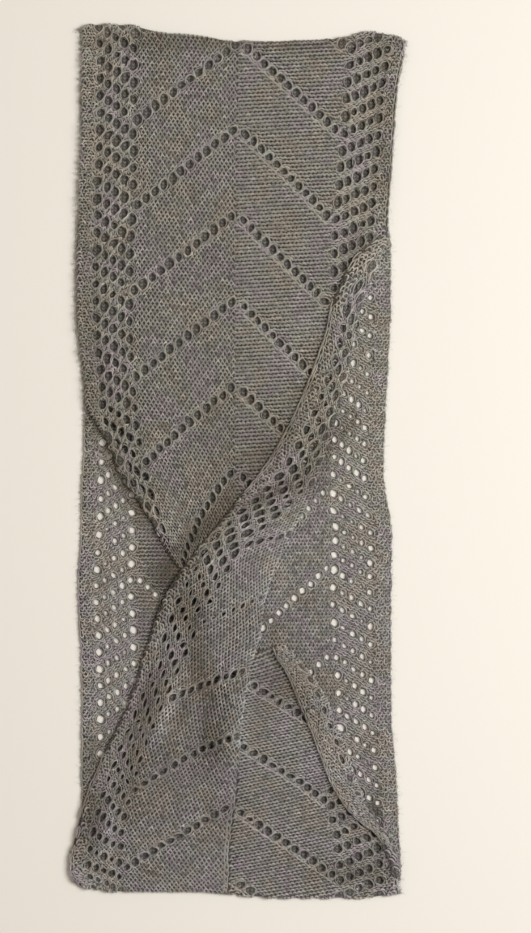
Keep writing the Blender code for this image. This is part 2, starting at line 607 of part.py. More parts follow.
def normals(surface, u, v):
    """Unit normals of the middle surface, upwards where the cloth has not turned over."""
    step = 0.02
    across = np.array(surface(u + step, v)) - np.array(surface(u - step, v))
    along = np.array(surface(u, v + step)) - np.array(surface(u, v - step))
    normal = np.cross(along.T, across.T)
    return normal / np.linalg.norm(normal, axis=1)[:, None]


def yarn(name, colour):
    """Matt heathered wool."""
    material = bpy.data.materials.new(name)
    material.use_nodes = True
    shader = material.node_tree.nodes["Principled BSDF"]
    shader.inputs["Base Color"].default_value = (*colour, 1.0)
    shader.inputs["Roughness"].default_value = 0.9
    shader.inputs["Metallic"].default_value = 0.0
    material.diffuse_color = (*colour, 1.0)
    return material


def centre(items):
    """Moves the meshes together so that the origin is at the bottom centre of their box."""
    points = np.array([vertex.co[:] for item in items for vertex in item.data.vertices])
    low, high = points.min(axis=0), points.max(axis=0)
    shift = Vector((-(low[0] + high[0]) / 2, -(low[1] + high[1]) / 2, -low[2]))
    for item in items:
        item.data.transform(Matrix.Translation(shift))


def main():
    for old in list(bpy.data.objects):
        bpy.data.objects.remove(old, do_unlink=True)
    surfaces = {"upper_front": upper_front, "crossing": crossing, "lower_right": lower_right, "flap": flap,
                "back_layer": back_layer}
    shapes = {"upper_front": shape_upper(), "crossing": shape_crossing(), "lower_right": shape_lower(),
              "flap": shape_flap()}
    top_end = places(upper_front, shapes["upper_front"][0][:len(shapes["upper_front"][1][0])])
    crossing_end = end_rows(CROSSING, CROSSING_POINTS, span(SPINE, 0, GRID))[-1]
    lower_end = end_rows(LOWER, LOWER_POINTS, span(STRIP_WIDTH, SPINE, GRID))[-1]
    bottom_end = np.vstack([places(lower_right, lower_end), places(crossing, crossing_end)])
    shapes["back_layer"] = shape_back((top_end, bottom_end))
    above = {name: places(surfaces[name], shape[0]) for name, shape in shapes.items()}

    upper_lace = chevrons(0, 4, KNIT_ARM, PURL_ARM) + chevrons(5, 5, LAST_KNIT_ARM, PURL_ARM)
    lower_lace = chevrons(5, 6, KNIT_ARM, PURL_ARM) + lower_chevrons(7)
    upper_border, crossing_border = border_eyelets(0, UPPER_FOLD["v"][-1]), border_eyelets(340, 680)
    stretches = {
        "back_layer": (back_eyelets(), ["upper_front", "crossing", "lower_right", "flap"], BACK_GRID, 0.14),
        "upper_front": (upper_lace + upper_border, ["crossing"], GRID, 0.17),
        "lower_right": (lower_lace, ["crossing", "flap"], GRID, 0.16),
        "flap": ([], [], GRID, 0.16),
        "crossing": (lower_lace + crossing_border, [], GRID, 0.15),
    }
    items = []
    for name, (eyelets, covers, step, grey) in stretches.items():
        surface, shape = surfaces[name], shapes[name]
        cut = showing(eyelets, surface, shape, [above[cover] for cover in covers])
        items.append(wall(name, surface, shape, cut, step, (grey, grey * 0.93, grey * 0.86)))
    centre(items)


main()
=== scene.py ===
"""Infinity scarf laid flat, as it looks: one lace-knitted strip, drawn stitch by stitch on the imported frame.

Each stretch that shows is a thin shell of cloth with its eyelets cut through, and yarn pieces that lie on it:
V-shaped knit stitches on one half of the strip, purl bumps on the other, garter bands at both edges, two
strands beside every eyelet, raised cords of decreases, and stray hairs. u is across the strip and v along it,
in millimetres; each stretch's surface function carries (u, v) to where the cloth lies.
"""

import bpy
import numpy as np
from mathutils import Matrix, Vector
from mathutils.geometry import delaunay_2d_cdt


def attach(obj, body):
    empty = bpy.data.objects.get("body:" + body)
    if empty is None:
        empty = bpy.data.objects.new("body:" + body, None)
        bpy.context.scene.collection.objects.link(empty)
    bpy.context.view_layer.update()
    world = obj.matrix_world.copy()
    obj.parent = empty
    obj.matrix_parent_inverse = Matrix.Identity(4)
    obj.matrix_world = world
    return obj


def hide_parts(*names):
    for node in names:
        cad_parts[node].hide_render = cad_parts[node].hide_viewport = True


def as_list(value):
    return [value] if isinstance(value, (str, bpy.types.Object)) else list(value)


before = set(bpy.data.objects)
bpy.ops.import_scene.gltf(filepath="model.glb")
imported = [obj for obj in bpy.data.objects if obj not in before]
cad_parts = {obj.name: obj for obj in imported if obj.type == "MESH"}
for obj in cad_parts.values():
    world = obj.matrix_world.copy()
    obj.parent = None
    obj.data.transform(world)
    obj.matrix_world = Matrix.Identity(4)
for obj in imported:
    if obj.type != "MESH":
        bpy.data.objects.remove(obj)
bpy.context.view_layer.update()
MM = 0.001
dice = np.random.default_rng(11)

# Cloth, as in the frame, in mm
STRIP_WIDTH = 248.0
SPINE = STRIP_WIDTH / 2
WALL = 2.2
GAP = 0.3  # between layers
LAYER_STEP = WALL + GAP
GRID = 17.0  # spacing of a shell's points
BACK_GRID = 24.0  # the same in the back layer
EDGE_ROOM = 0.3  # share of that spacing kept free beside edges and folds
EYELET_ROOM = 0.2  # and beside eyelets
FOLD_RADIUS = LAYER_STEP / 2
FOLD_REACH = FOLD_RADIUS + WALL / 2
HALF_TURN = np.pi * FOLD_RADIUS
TURN_UNDER = 8.0  # how far the cloth goes on past a fold's half turn
WHOLE_TURN = HALF_TURN + TURN_UNDER
FOLD_ROWS = [0.0, 0.25, 0.5, 0.75, 1.0]
FOLD_PASTS = [HALF_TURN * part for part in FOLD_ROWS] + [WHOLE_TURN]
ROLLED = 0.8  # share of a loose fold's length that its lines of points take up
LOOSE_ROOM = 1.5  # walls of room beside a fold where it isn't turned
TOP_Y = 335.2
NORMAL_STEP = 0.05  # the cloth's normals come from points this far to each side

# Shell: how far it reaches above and below the middle of the wall
SHELL_OVER = 0.4
SHELL_UNDER = 1.1
EYELET_SIDES = 8
EYELETS_APART = 4.6
EYELET_OFF = 0.22  # how they vary: mm off their place, share of how much each is drawn out, and turn
EYELET_DRAWN = (0.5, 1.5)
EYELET_TURN = 0.3
EYELET_CORNERS = 0.1  # how much of a diamond they are
SHELL_MARGIN = 3.4
SHELL_INSET = 1.3  # from a selvedge: only loose yarn reaches further out
UPPER_INSET = 4.0  # the same on the left above the crossing, where the edge is looser
UPPER_INSET_END = 300.0

# Stitches: points of one length of yarn up to its middle, as across and along in stitch widths and heights,
# lift above the middle of the cloth in mm, and thickness as a share of the yarn's radius
KNIT = [(-0.5, 0.70, 0.5, 0.55), (-0.17, 0.18, 1.05, 1.0), (0.0, -0.36, 1.15, 1.1)]
PURL = [(-0.54, 0.22, 0.6, 0.8), (-0.28, -0.10, 0.95, 1.1), (0.0, -0.20, 1.1, 1.2)]
GARTER = [(-0.60, 0.45, 0.4, 0.7), (-0.34, -0.08, 1.1, 1.1), (0.0, -0.30, 1.4, 1.25)]
# Kinds of stitch: points, yarn's radius, lightness and how it varies, looseness, and how far they turn
KINDS = {"knit": (KNIT, 0.66, (1.02, 0.21), 1.0, 0.09), "purl": (PURL, 0.87, (0.94, 0.11), 1.0, 0.09),
         "garter": (GARTER, 0.86, (1.0, 0.16), 2.5, 0.45)}
DRAWN_STITCH = (3.4, 2.8)  # width and height of a stitch drawn on the shell
LONGEST_STEP = 4.2  # a length of yarn with a longer step than this is left out
PUSH_REACH = 3.6  # eyelets push the stitches round them out to this far past their rims
CHUNK = 6000  # points set against the eyelets at a time
STITCH_INSET = 0.9  # centres of stitches from the outline
INTO_EYELET = 1.3  # and how far past an eyelet's rim they may lie
SELVEDGE = 3.6
GARTER_BAND = 13.6

# How far eyelets, stitches, chains and cords, and rails go on under the rim of the stretch above
EYELETS_UNDER = 2.0
STITCHES_UNDER = 6.0
CHAINS_UNDER = 4.0
RAILS_UNDER = 2.0

# How stitches vary: width, height, mm off their place, lift in mm, and thickness
WIDTH_VARIES = 0.05
HEIGHT_VARIES = 0.06
PLACE_VARIES = 0.12
LIFT_VARIES = 0.15
THICK_VARIES = 0.11

# Lightness of the yarn's lengths: how it varies, red, green and blue against each other, and its limits
TINT_LIGHT = 0.12
TINT_HUE = 0.015
HUE_VARIES = np.array([1, 0.4, 1.2])
TINT_LIMITS = (0.4, 1.8)

# Strands beside an eyelet: middle's distance from its rim, radii, length in eyelets, and lightness
RING_GAP = 0.40
THICK_SIDE = 0.80
THIN_SIDE = 0.42
SWAPPED = 0.25  # share of eyelets with the thick strand on the other side
RING_LONG = 1.6
RING_TINT = 0.86
RING_POINTS = 7

# Chains of slipped loops, rails along a selvedge, cords of decreases below rows of eyelets, and hairs
CHAIN_WIDTH = 2.7
CHAIN_PITCH = 7.0
CHAIN_LONG = 0.62  # half a loop's length, in pitches
CHAIN_RADIUS = 0.74
CHAIN_POINTS = 8
RAIL = 1.0  # from the selvedge
RAIL_STEP = 24.0
RAIL_LENGTH = 24.6
RAIL_RADIUS = 0.6
RAIL_POINTS = 9
CORD_OFFSET = 4.6
CORD_POINTS = 34
CORD_LEAST = 4  # points of a cord that have to show
CORD_TINT = (1.16, 0.05)
HAIR_RADIUS = 0.07

# Lace: rows of eyelets go down to both sides from the spine, and a mesh border follows both edges
CHEVRON = 68.6
FIRST_POINT = 2.4
EYELETS_PER_ARM = 12
# Arms, as (across, along): the first eyelet from the point, and the next. Some bend.
KNIT_ARM = dict(start=(2.4, 0.8), step=(6.8, 5.4), bend=0.0)
PURL_ARM = dict(start=(7.2, 4.0), step=(6.0, 5.84), bend=0.0)
LAST_KNIT_ARM = dict(start=(4.0, 0.2), step=(5.8, 6.5), bend=0.0)
LOWER_KNIT_ARMS = [dict(start=(0.6, 8.5), step=(6.7, 3.7), bend=0.0),
                   dict(start=(7.4, 4.0), step=(6.5, 2.6), bend=0.235),
                   dict(start=(7.2, 2.7), step=(6.14, 5.4), bend=0.0)]
LOWER_PURL_ARM = dict(start=(3.2, -1.0), step=(6.5, 6.1), bend=0.0)
BACK_KNIT_ARM = dict(start=(3.2, 2.0), step=(6.32, 5.9), bend=0.0)
BACK_PURL_ARM = dict(start=(8.0, -5.5), step=(6.0, 5.76), bend=0.0)
BACK_POINTS = [214.8, 283.4, 352.0, 428.9, 489.2, 560.0, 626.4]  # v of the back layer's chevron points
BORDER_COLUMNS = 5
BORDER_PITCH = CHEVRON / 5
BORDER_FIRST = 5.6
# Mesh borders: outermost column from the edge, from one column to the next, and how much further along
LEFT_MESH = dict(outer=16.6, across=6.62, along=4.2)
RIGHT_MESH = dict(outer=14.6, across=7.2, along=3.2)
FLAP_COLUMN = dict(u=225.2, first=452.0, pitch=14.8, count=19)

# Wool: shader values, and where and which the patches of brownish, greenish and rosy grey are
WOOL = {"Roughness": 0.92, "Specular IOR Level": 0.25, "Sheen Weight": 0.25, "Sheen Roughness": 0.5,
        "Sheen Tint": (0.8, 0.78, 0.75, 1.0)}
NOISES = {"patches": (42.0, 2.0), "fine": (300.0, 3.0), "hairs": (2600.0, 2.0)}  # scale and detail
HEATHER = [(0.40, (1.05, 0.985, 0.91)), (0.5, (0.98, 1.0, 0.955)), (0.60, (1.03, 0.965, 1.03))]

# Studio, in metres: name, place, size, power and colour of the lights; the picture's long side at the floor
LIGHTS = [("key", (1.3, 0.15, 1.75), 1.1, 46.0, (1.0, 0.955, 0.87)),
          ("fill", (-1.6, 0.4, 1.8), 1.6, 6.0, (1.0, 0.80, 0.55))]
FLOOR_HALF = 3.0
FLOOR_COLOUR = (0.8, 0.8, 0.8, 1.0)
ROOM_COLOUR = (1.0, 0.90, 0.77, 1.0)
ROOM_LIGHT = 0.32
CAMERA_HEIGHT = 2.0
CAMERA_PLACE = (0.0228, -0.0052, CAMERA_HEIGHT + 0.004)
PICTURE_LONG = 0.7464


def table(columns, rows):
    """A table as a dictionary: column name to the column's numbers."""
    return dict(zip(columns.split(), np.array(rows, float).T))


# Back layer's mesh: v of some rows at the outermost column, and u of the first and last columns
BACK_LEFT_MESH = table("row v inner outer", [
    (-3, 275, 41, 16), (0, 321, 41, 16), (3, 366, 41, 16.5), (6, 409, 41.5, 15), (12, 489, 43, 15.5),
    (20, 598, 43, 16)])
BACK_RIGHT_MESH = table("row v inner outer", [
    (0, 205, 207, 232), (5, 281, 207, 231.5), (10, 350, 207, 231), (13, 393.5, 203.6, 230.5),
    (17, 441, 202, 231), (20, 483, 202.6, 231.5), (25, 553.5, 206.6, 232), (32, 652, 206.6, 232)])
BACK_MESHES = [BACK_LEFT_MESH, BACK_RIGHT_MESH]
BACK_SLANT = 4.4  # each column of it is this much further up than the next one out

# Colour by place, red, green and blue: painted shade is browner and painted highlight bluer, and so is the
# lower half
SHADE_HUE = np.array([0.90, 1.0, 1.16])
LOWER_HUE = np.array([0.965, 0.965, 1.02])
LOWER_FULLY = 120.0  # mm below the middle where that is in full
# Painted shade where the cloth dips and painted highlight where it swells to the light, put into the wool's
# colour: centre, reach along and across, turn in degrees
SHADES = table("x y long wide turned share", [
    (-23, -50, 32, 7, 47, 0.46), (22, 0, 26, 7, 50, 0.76), (10, 20, 40, 16, 50, 0.86),
    (-57, -90, 12, 8, 50, 0.46), (-87, -26, 44, 5.5, 117, 0.60), (-94, 24, 46, 14, 110, 0.84),
    (38, 16, 26, 9, 50, 0.82), (-30, -164, 38, 7, 104, 0.72), (-43, -118, 10, 9, 100, 0.80),
    (-78, -220, 28, 6.5, 72, 0.64), (-64, -120, 20, 8, 65, 0.70), (-116, -284, 24, 9, 80, 0.60),
    (-20, -226, 14, 8, 100, 0.76), (-56, -203, 20, 2.8, 68, 1.5), (-42, -198, 20, 5, 68, 0.80),
    (-101, -290, 18, 4, 80, 1.40), (6, -200, 44, 5, 80, 1.26), (52, -198, 20, 5.5, 117, 0.62),
    (82, -276, 24, 6, 120, 0.70), (90, -330, 24, 6, 175, 0.68), (26, -130, 8, 8, 0, 0.70),
    (30, -180, 22, 12, 60, 0.80), (52, 92, 20, 10, 60, 1.10), (108, 158, 22, 10, 75, 1.30),
    (68, -252, 48, 11, 120, 1.13), (94, 172, 14, 6, 61, 0.66), (74, 108, 30, 5, 75, 0.80),
    (54, 52, 22, 6, 65, 0.80), (86, 24, 14, 6, 65, 0.72), (65, 0, 18, 6, 55, 0.76),
    (-118, 100, 66, 8, 92, 0.76), (-119, 230, 90, 7, 90, 0.86), (117, 256, 84, 9, 90, 0.77),
    (0, 334, 140, 5, 0, 0.72), (26, -27, 24, 4, 28, 0.52), (33, -86, 28, 6, 67, 1.18),
    (-68, -176, 20, 8, 75, 0.84), (-24, -196, 46, 8, 98, 0.86), (-32, -68, 11, 6, 50, 0.74),
    (-31, -112, 24, 8, 88, 0.72), (-66, -182, 18, 8, 72, 0.72), (-87, -206, 26, 7, 68, 0.80),
    (-112, -232, 14, 8, 60, 0.66), (-86, -264, 20, 9, 58, 0.80), (-118, -282, 24, 6, 88, 0.82),
    (46, -178, 34, 16, 0, 0.87), (-48, -246, 34, 16, 35, 0.84), (-10, -280, 9, 8, 0, 0.72),
    (111, -286, 50, 7, 92, 0.78), (70, 17, 12, 7, 60, 0.78), (56, -22, 14, 7, 50, 0.76),
    (-18, 38, 14, 8, 80, 0.82)])

# The outline of the laid scarf, from the top left corner down each side, and along both ends
LEFT_SIDE = table("y x", [
    (344, -126), (273, -126), (194, -129), (146, -130), (104, -129), (63, -124), (14, -123), (-18, -125),
    (-67, -126), (-100, -128), (-144, -126), (-191, -125), (-278, -125), (-302, -130), (-322, -135),
    (-334, -133), (-342, -127)])
RIGHT_SIDE = table("y x", [
    (336, 134), (328, 134), (297, 129), (257, 126), (218, 123), (194, 121), (168, 124), (128, 124),
    (63, 121), (22, 119), (-2, 118), (-35, 121), (-59, 125), (-112, 124), (-191, 124), (-230, 126),
    (-264, 129), (-294, 130), (-326, 132), (-347, 130)])
TOP_END = table("x y", [
    (-127, 345), (-120, 348), (-86, 349), (-70, 344), (-31, 340), (-7, 336), (17, 335), (48, 336),
    (69, 337), (90, 339), (105, 343), (126, 340), (135, 335)])
BOTTOM_END = table("x y", [
    (-135, -334), (-125, -341), (-114, -344), (-97, -346), (-66, -346), (-35, -346), (-3, -348), (26, -351),
    (66, -351), (113, -350), (131, -347)])

# Upper front, face one of the strip: x of five lines of stitches. Its y is TOP_Y - v.
UPPER_LINES = [0.0, 44.0, SPINE, 204.0, STRIP_WIDTH]
UPPER = table("v edge border spine far_border far_edge", [
    (-14, -126, -86, 1, 92, 134), (7, -126, -82, 1, 91, 134), (38, -126, -82, 0, 88, 129),
    (78, -127, -82, -1, 85, 126), (118, -129, -82, -1, 81, 123), (152, -129, -84, -2, 78, 121),
    (189, -130, -85, -2, 77, 120), (231, -129, -85, -2, 77, 121), (272, -124, -83, -2, 77, 121),
    (309, -122, -80, -2, 77, 121), (351, -114, -72, -2, 77, 121), (396, -100, -58, -2, 76, 121),
    (426, -89, -47, -1, 74, 118), (448, -70, -33, 2, 68, 108), (480, -38, -17, 6, 42, 58)])
TIP_ROOM = 2.0  # between its right side and the crossing's tip
LEFT_STEP = 12.0  # spacing of the points along its left fold
UPPER_END = 478.0  # v of its seam's end below the crossing's fold
# Where its left side turns under: u of that fold, and how much of the fold is there
UPPER_FOLD = table("v fold_u turned", [
    (-30, 0, 0), (285, 0, 0), (300, 8, 0.3), (313, 14, 0.6), (330, 19, 1), (347, 23, 1), (375, 34, 1),
    (385, 37, 0.8), (399, 40, 0.4), (410, 43, 0), (426, 52, 0), (440, 76, 0), (455, 103, 0), (480, 122, 0)])

# Crossing, face two: it comes over the right fold, crosses to the left and runs down to the bottom end.
# Three points of each row of stitches: at the free edge, on the border line, and at the fold or the spine.
# Layers are their heights. turned is how much of the fold is there.
CROSSING = table("v edge_u edge_x edge_y mid_u mid_x mid_y fold_u fold_x fold_y "
                 "edge_layer mid_layer fold_layer turned", [
    (157, 0, 119, 184, 2, 120, 182, 4, 122, 179, 2, 2, 2, 0.35),
    (172, 0, 100, 170, 8, 107, 167, 16, 115, 163, 2, 2, 2, 0.8),
    (189, 0, 86, 152, 11, 97, 148, 22, 108, 142, 2, 2, 2, 1),
    (206, 0, 76, 127, 16, 89, 122, 27, 98, 118, 2, 2, 2, 1),
    (234, 0, 70, 102, 18, 84, 94, 27, 93, 90, 2, 2, 2, 1),
    (261, 0, 60, 73, 18, 75, 66, 33, 87, 61, 2, 2, 2, 1),
    (288, 0, 49, 46, 18, 64, 39, 37, 80, 32, 2, 2, 2, 1),
    (316, 0, 37, 21, 20, 53, 12, 42, 70, 3, 2, 2, 2, 1),
    (343, 0, 22, -4, 36, 50, -19, 51, 60, -26, 2, 2, 2, 1),
    (362, 0, 10, -19, 44, 42, -35, 62, 53, -41, 2, 2, 2, 1),
    (390, 7, -6, -40, 44, 21, -54, 74, 40, -65, 2, 2, 2, 1),
    (418, 11, -25, -63, 44, -1, -76, 85, 29, -90, 2, 2, 2, 1),
    (445, 6, -43, -86, 44, -14, -101, 90, 22, -114, 2, 2, 2, 1),
    (472, 3, -58, -110, 44, -28, -127, 98, 18, -142, 2, 2, 3, 1),
    (500, 2, -70, -142, 44, -41, -155, 107, 10, -168, 1.1, 1.6, 3, 1),
    (527, 3, -80, -173, 44, -54, -184, 113, 6, -194, 1, 1, 3, 1),
    (554, 4, -90, -203, 44, -67, -213, 117, 3, -220, 1, 1, 3, 1),
    (568, 3, -97, -216, 44, -72, -226, 119, 2, -232, 1, 1, 2.8, 0.4),
    (582, 2, -104, -230, 44, -77, -240, 121, 1, -245, 1, 1, 2.1, 0),
    (594, 1, -110, -242, 44, -80, -250, 122, 0, -256, 1, 1, 1.9, 0),
    (610, 0, -117, -257, 44, -83, -262, 123, -2, -269, 1, 1, 1.2, 0),
    (637, 0, -126, -284, 44, -90, -286, 124, -5, -293, 1, 1, 1, 0),
    (650, 0, -130, -302, 44, -92, -298, 124, -6, -304, 1, 1, 1, 0),
    (665, 0, -134, -318, 44, -93, -310, 124, -7, -316, 1, 1, 1, 0),
    (678, 0, -134, -329, 44, -94, -322, 124, -7, -328, 1, 1, 1, 0),
    (707, 0, -127, -345, 44, -93, -347, 124, -8, -350, 1, 1, 1, 0),
    (737, 0, -126, -375, 44, -93, -377, 124, -8, -380, 1, 1, 1, 0)])
CROSSING_POINTS = ("edge", "mid", "fold")
FLAT_BY_FOLD = 14.0  # beside a raised fold the cloth is level, and then comes down
RAMP = 22.0

# Lower right, face two: from under the crossing's fold, or the spine, to the flap's fold or the right side.
# under is how far it goes on below the crossing.
LOWER = table("v left_u left_x left_y right_u right_x right_y under", [
    (468, 152, 20, -147, 171, 38, -145, 12), (480, 150, 17, -162, 181, 49, -157, 12),
    (500, 147, 14, -181, 194, 66, -176, 12), (532, 144, 10, -206, 208, 79, -201, 12),
    (565, 140, 6, -232, 214, 90, -226, 11), (580, 137, 4, -245, 220, 94, -240, 7),
    (596, 134, 2, -258, 225, 98, -251, 0), (626, 126, -4, -284, 238, 109, -277, 0),
    (656, 124, -6.7, -309, 246, 125, -302, 0), (680, 124, -7.6, -329, 248, 130, -324, 0),
    (707, 124, -7.6, -351, 248, 130, -350, 0), (737, 124, -7.6, -381, 248, 130, -380, 0)])
LOWER_POINTS = ("left", "right")
SPINE_SEAM = 594.0  # v from which the crossing and the lower right meet at the spine
UNROLL_STEPS = 20
END_ROWS = np.linspace(680, 737, 120)  # v among which the start of the bottom fold is looked for

# Flap, face one again: the far border folded back over the lower right
FLAP = table("v fold_u fold_x fold_y edge_x edge_y turned", [
    (472, 236, 38, -149, 28, -149, 0.4), (480, 230, 43, -154, 30, -155, 0.7),
    (504, 224, 58, -170, 40, -172, 1), (528, 222, 70, -188, 49, -194, 1), (552, 221, 78, -207, 58, -215, 1),
    (576, 221, 86, -229, 66, -236, 1), (600, 222, 94, -253, 74, -257, 1),
    (612, 223, 99, -264, 79, -266, 0.6), (624, 224, 103, -274, 84, -274, 0.3),
    (636, 226, 108, -284, 91, -283, 0), (648, 229, 114, -295, 99, -290, 0),
    (668, 236, 125, -308, 112, -301, 0), (694, 243, 130, -333, 122, -331, 0)])
FLAP_STEP = 10.0  # spacing of the points along the flap
# Lower right beyond v of 632 at the flap's fold
CORNER_FROM = 632.0
LOWER_CORNER = [(112.0, -289.0), (122.0, -301.0), (129.0, -318.0), (130.0, -336.0)]


def read(tab, column, along):
    """A column at any place along the table, on a smooth curve through its rows."""
    keys = list(tab)
    x, y = tab[keys[0]], tab[column]
    if x[0] > x[-1]:
        x, y = x[::-1], y[::-1]
    steps = np.diff(y) / np.diff(x)
    slopes = np.concatenate([steps[:1], (steps[1:] + steps[:-1]) / 2, steps[-1:]])
    flat = np.concatenate([[False], steps[1:] * steps[:-1] <= 0, [False]])
    slopes[flat] = 0.0
    at = np.clip(along, x[0], x[-1])
    i = np.clip(np.searchsorted(x, at) - 1, 0, len(x) - 2)
    width = x[i + 1] - x[i]
    t = (at - x[i]) / width
    blend = t * t * (3 - 2 * t)
    ease = width * (t * (1 - t) ** 2 * slopes[i] - t * t * (1 - t) * slopes[i + 1])
    return y[i] * (1 - blend) + y[i + 1] * blend + ease


def smoothstep(t):
    t = np.clip(t, 0.0, 1.0)
    return t * t * (3 - 2 * t)


def height(layer):
    return WALL / 2 + layer * LAYER_STEP


def turn(past):
    """Past a fold's start: how far out the cloth lies, and how far below the upper layer."""
    angle = np.pi * np.clip(past / HALF_TURN, 0.0, 1.0)
    back = np.maximum(past - HALF_TURN, 0.0)
    return FOLD_RADIUS * np.sin(angle) - back, FOLD_RADIUS * (1 - np.cos(angle))


def end_folds(x, y, z):
    """Takes what lies past the top or bottom end round its fold, down by one layer."""
    top = read(TOP_END, "y", x) - FOLD_REACH
    bottom = read(BOTTOM_END, "y", x) + FOLD_REACH
    out_top, drop_top = turn(np.maximum(y - top, 0.0))
    out_bottom, drop_bottom = turn(np.maximum(bottom - y, 0.0))
    z = z - np.where(y > top, drop_top, 0.0) - np.where(y < bottom, drop_bottom, 0.0)
    y = np.where(y > top, top + out_top, np.where(y < bottom, bottom - out_bottom, y))
    return x, y, z


def back_layer(u, v):
    y = TOP_Y - v
    left = read(LEFT_SIDE, "x", y)
    right = read(RIGHT_SIDE, "x", y)
    return left + (right - left) * u / STRIP_WIDTH, y, np.full_like(u, height(0))


def upper_x(u, v):
    columns = [read(UPPER, name, v) for name in ("edge", "border", "spine", "far_border", "far_edge")]
    x = columns[0] + (columns[1] - columns[0]) * (u - UPPER_LINES[0]) / (UPPER_LINES[1] - UPPER_LINES[0])
    for n in range(1, 4):
        part = (u - UPPER_LINES[n]) / (UPPER_LINES[n + 1] - UPPER_LINES[n])
        x = np.where(u > UPPER_LINES[n], columns[n] + (columns[n + 1] - columns[n]) * part, x)
    return x


def fold_length(tab, v):
    """How far the strip goes on past the start of a stretch's side fold."""
    return WHOLE_TURN * np.clip(read(tab, "turned", v), 0.0, 1.0)


def upper_front(u, v):
    fold = read(UPPER_FOLD, "fold_u", v)
    length = fold_length(UPPER_FOLD, v)
    out, drop = turn(np.maximum(fold - u, 0.0))
    inset = FOLD_REACH * np.clip(length / HALF_TURN, 0, 1) * (1 - smoothstep((u - fold) / RAMP))
    x = upper_x(np.maximum(u, fold), v) + inset - np.where(u < fold, out, 0.0)
    rise = turn(length)[1] / LAYER_STEP * (1 - smoothstep((u - fold - FLAT_BY_FOLD) / RAMP))
    return end_folds(x, TOP_Y - v, height(1 + rise) - np.where(u < fold, drop, 0.0))


def crossing(u, v):
    row = {name: read(CROSSING, name, v) for name in CROSSING}
    outer = np.clip((u - row["edge_u"]) / (row["mid_u"] - row["edge_u"]), 0, 1)
    inner = np.clip((u - row["mid_u"]) / (row["fold_u"] - row["mid_u"]), 0, 1)
    past = np.maximum(u - row["fold_u"], 0.0)
    way_x = row["fold_x"] - row["mid_x"]
    way_y = row["fold_y"] - row["mid_y"]
    length = np.hypot(way_x, way_y)
    out, drop = turn(past)
    inset = FOLD_REACH * np.clip(fold_length(CROSSING, v) / HALF_TURN, 0, 1)
    along = (inner * (length - inset) + out) / length
    x = row["edge_x"] + (row["mid_x"] - row["edge_x"]) * outer + way_x * along
    y = row["edge_y"] + (row["mid_y"] - row["edge_y"]) * outer + way_y * along
    layer = row["edge_layer"] + (row["mid_layer"] - row["edge_layer"]) * outer
    ramp = smoothstep(1 - (row["fold_u"] - FLAT_BY_FOLD - u) / RAMP)
    layer = layer + (row["fold_layer"] - row["mid_layer"]) * ramp
    return end_folds(x, y, height(layer) - drop)


def lower_right(u, v):
    row = {name: read(LOWER, name, v) for name in LOWER}
    part = (u - row["left_u"]) / (row["right_u"] - row["left_u"])
    x = row["left_x"] + (row["right_x"] - row["left_x"]) * part
    y = row["left_y"] + (row["right_y"] - row["left_y"]) * part
    return end_folds(x, y, np.full_like(u, height(1)))


def flap(u, v):
    row = {name: read(FLAP, name, v) for name in FLAP}
    part = np.clip((u - row["fold_u"]) / (STRIP_WIDTH - row["fold_u"]), 0, 1)
    way_x = row["edge_x"] - row["fold_x"]
    way_y = row["edge_y"] - row["fold_y"]
    width = np.hypot(way_x, way_y)
    inset = FOLD_REACH * np.clip(fold_length(FLAP, v) / HALF_TURN, 0, 1)
    out, drop = turn(np.maximum(row["fold_u"] - u, 0.0))
    along = inset + (width - inset) * part - out
    return row["fold_x"] + way_x * along / width, row["fold_y"] + way_y * along / width, height(2) - drop


def span(first, last, step):
    count = max(2, int(round(abs(last - first) / step)) + 1)
    return np.linspace(first, last, count)


def places(surface, line):
    """A line of flat coordinates as seen from above."""
    u, v = np.array(line, float).T
    return np.array(surface(u, v))[:2].T


def unroll(surface, points, guess):
    """Flat coordinates of where a surface lies over the points, looked for from the line u = guess."""
    goal = np.array(points, float)
    flat = np.column_stack([np.full(len(goal), guess), TOP_Y - goal[:, 1]])
    small, longest = 0.01, 20.0  # mm for the slopes, and the longest step
    for _ in range(UNROLL_STEPS):
        here = places(surface, flat)
        du = (places(surface, flat + [small, 0]) - here) / small
        dv = (places(surface, flat + [0, small]) - here) / small
        miss = goal - here
        size = du[:, 0] * dv[:, 1] - du[:, 1] * dv[:, 0]
        flat[:, 0] += np.clip((miss[:, 0] * dv[:, 1] - miss[:, 1] * dv[:, 0]) / size, -longest, longest)
        flat[:, 1] += np.clip((du[:, 0] * miss[:, 1] - du[:, 1] * miss[:, 0]) / size, -longest, longest)
    return [tuple(point) for point in flat.tolist()]


def pairs(us, vs):
    """A line of (u, v) from a list of u and a list of v."""
    return list(zip(np.asarray(us, float).tolist(), np.asarray(vs, float).tolist()))


def beside(line, distance):
    """A line moved sideways, to the left of its own direction."""
    points = np.array(line, float)
    way = np.gradient(points, axis=0)
    way /= np.hypot(*way.T)[:, None]
    return points + np.stack([-way[:, 1], way[:, 0]], axis=1) * np.reshape(distance, (-1, 1))


def end_v(tab, names, u, past):
    """v at which the line of stitches u has gone past the start of the bottom fold by some length."""
    us, xs, ys = (np.transpose([read(tab, name + end, END_ROWS) for name in names])
                  for end in ("_u", "_x", "_y"))
    x, y = (np.array([np.interp(u, *row) for row in zip(us, values)]) for values in (xs, ys))
    return float(np.interp(past, read(BOTTOM_END, "y", x) + FOLD_REACH - y, END_ROWS))


def end_rows(tab, names, us):
    """Lines of points round the bottom fold, and last the cloth's own end."""
    return [[(float(u), end_v(tab, names, u, past)) for u in us] for past in FOLD_PASTS]


def past_fold(tab, vs, sign):
    """The line where the strip ends past a side fold. sign is the way u goes past the fold."""
    return pairs(read(tab, "fold_u", vs) + sign * fold_length(tab, vs), vs)


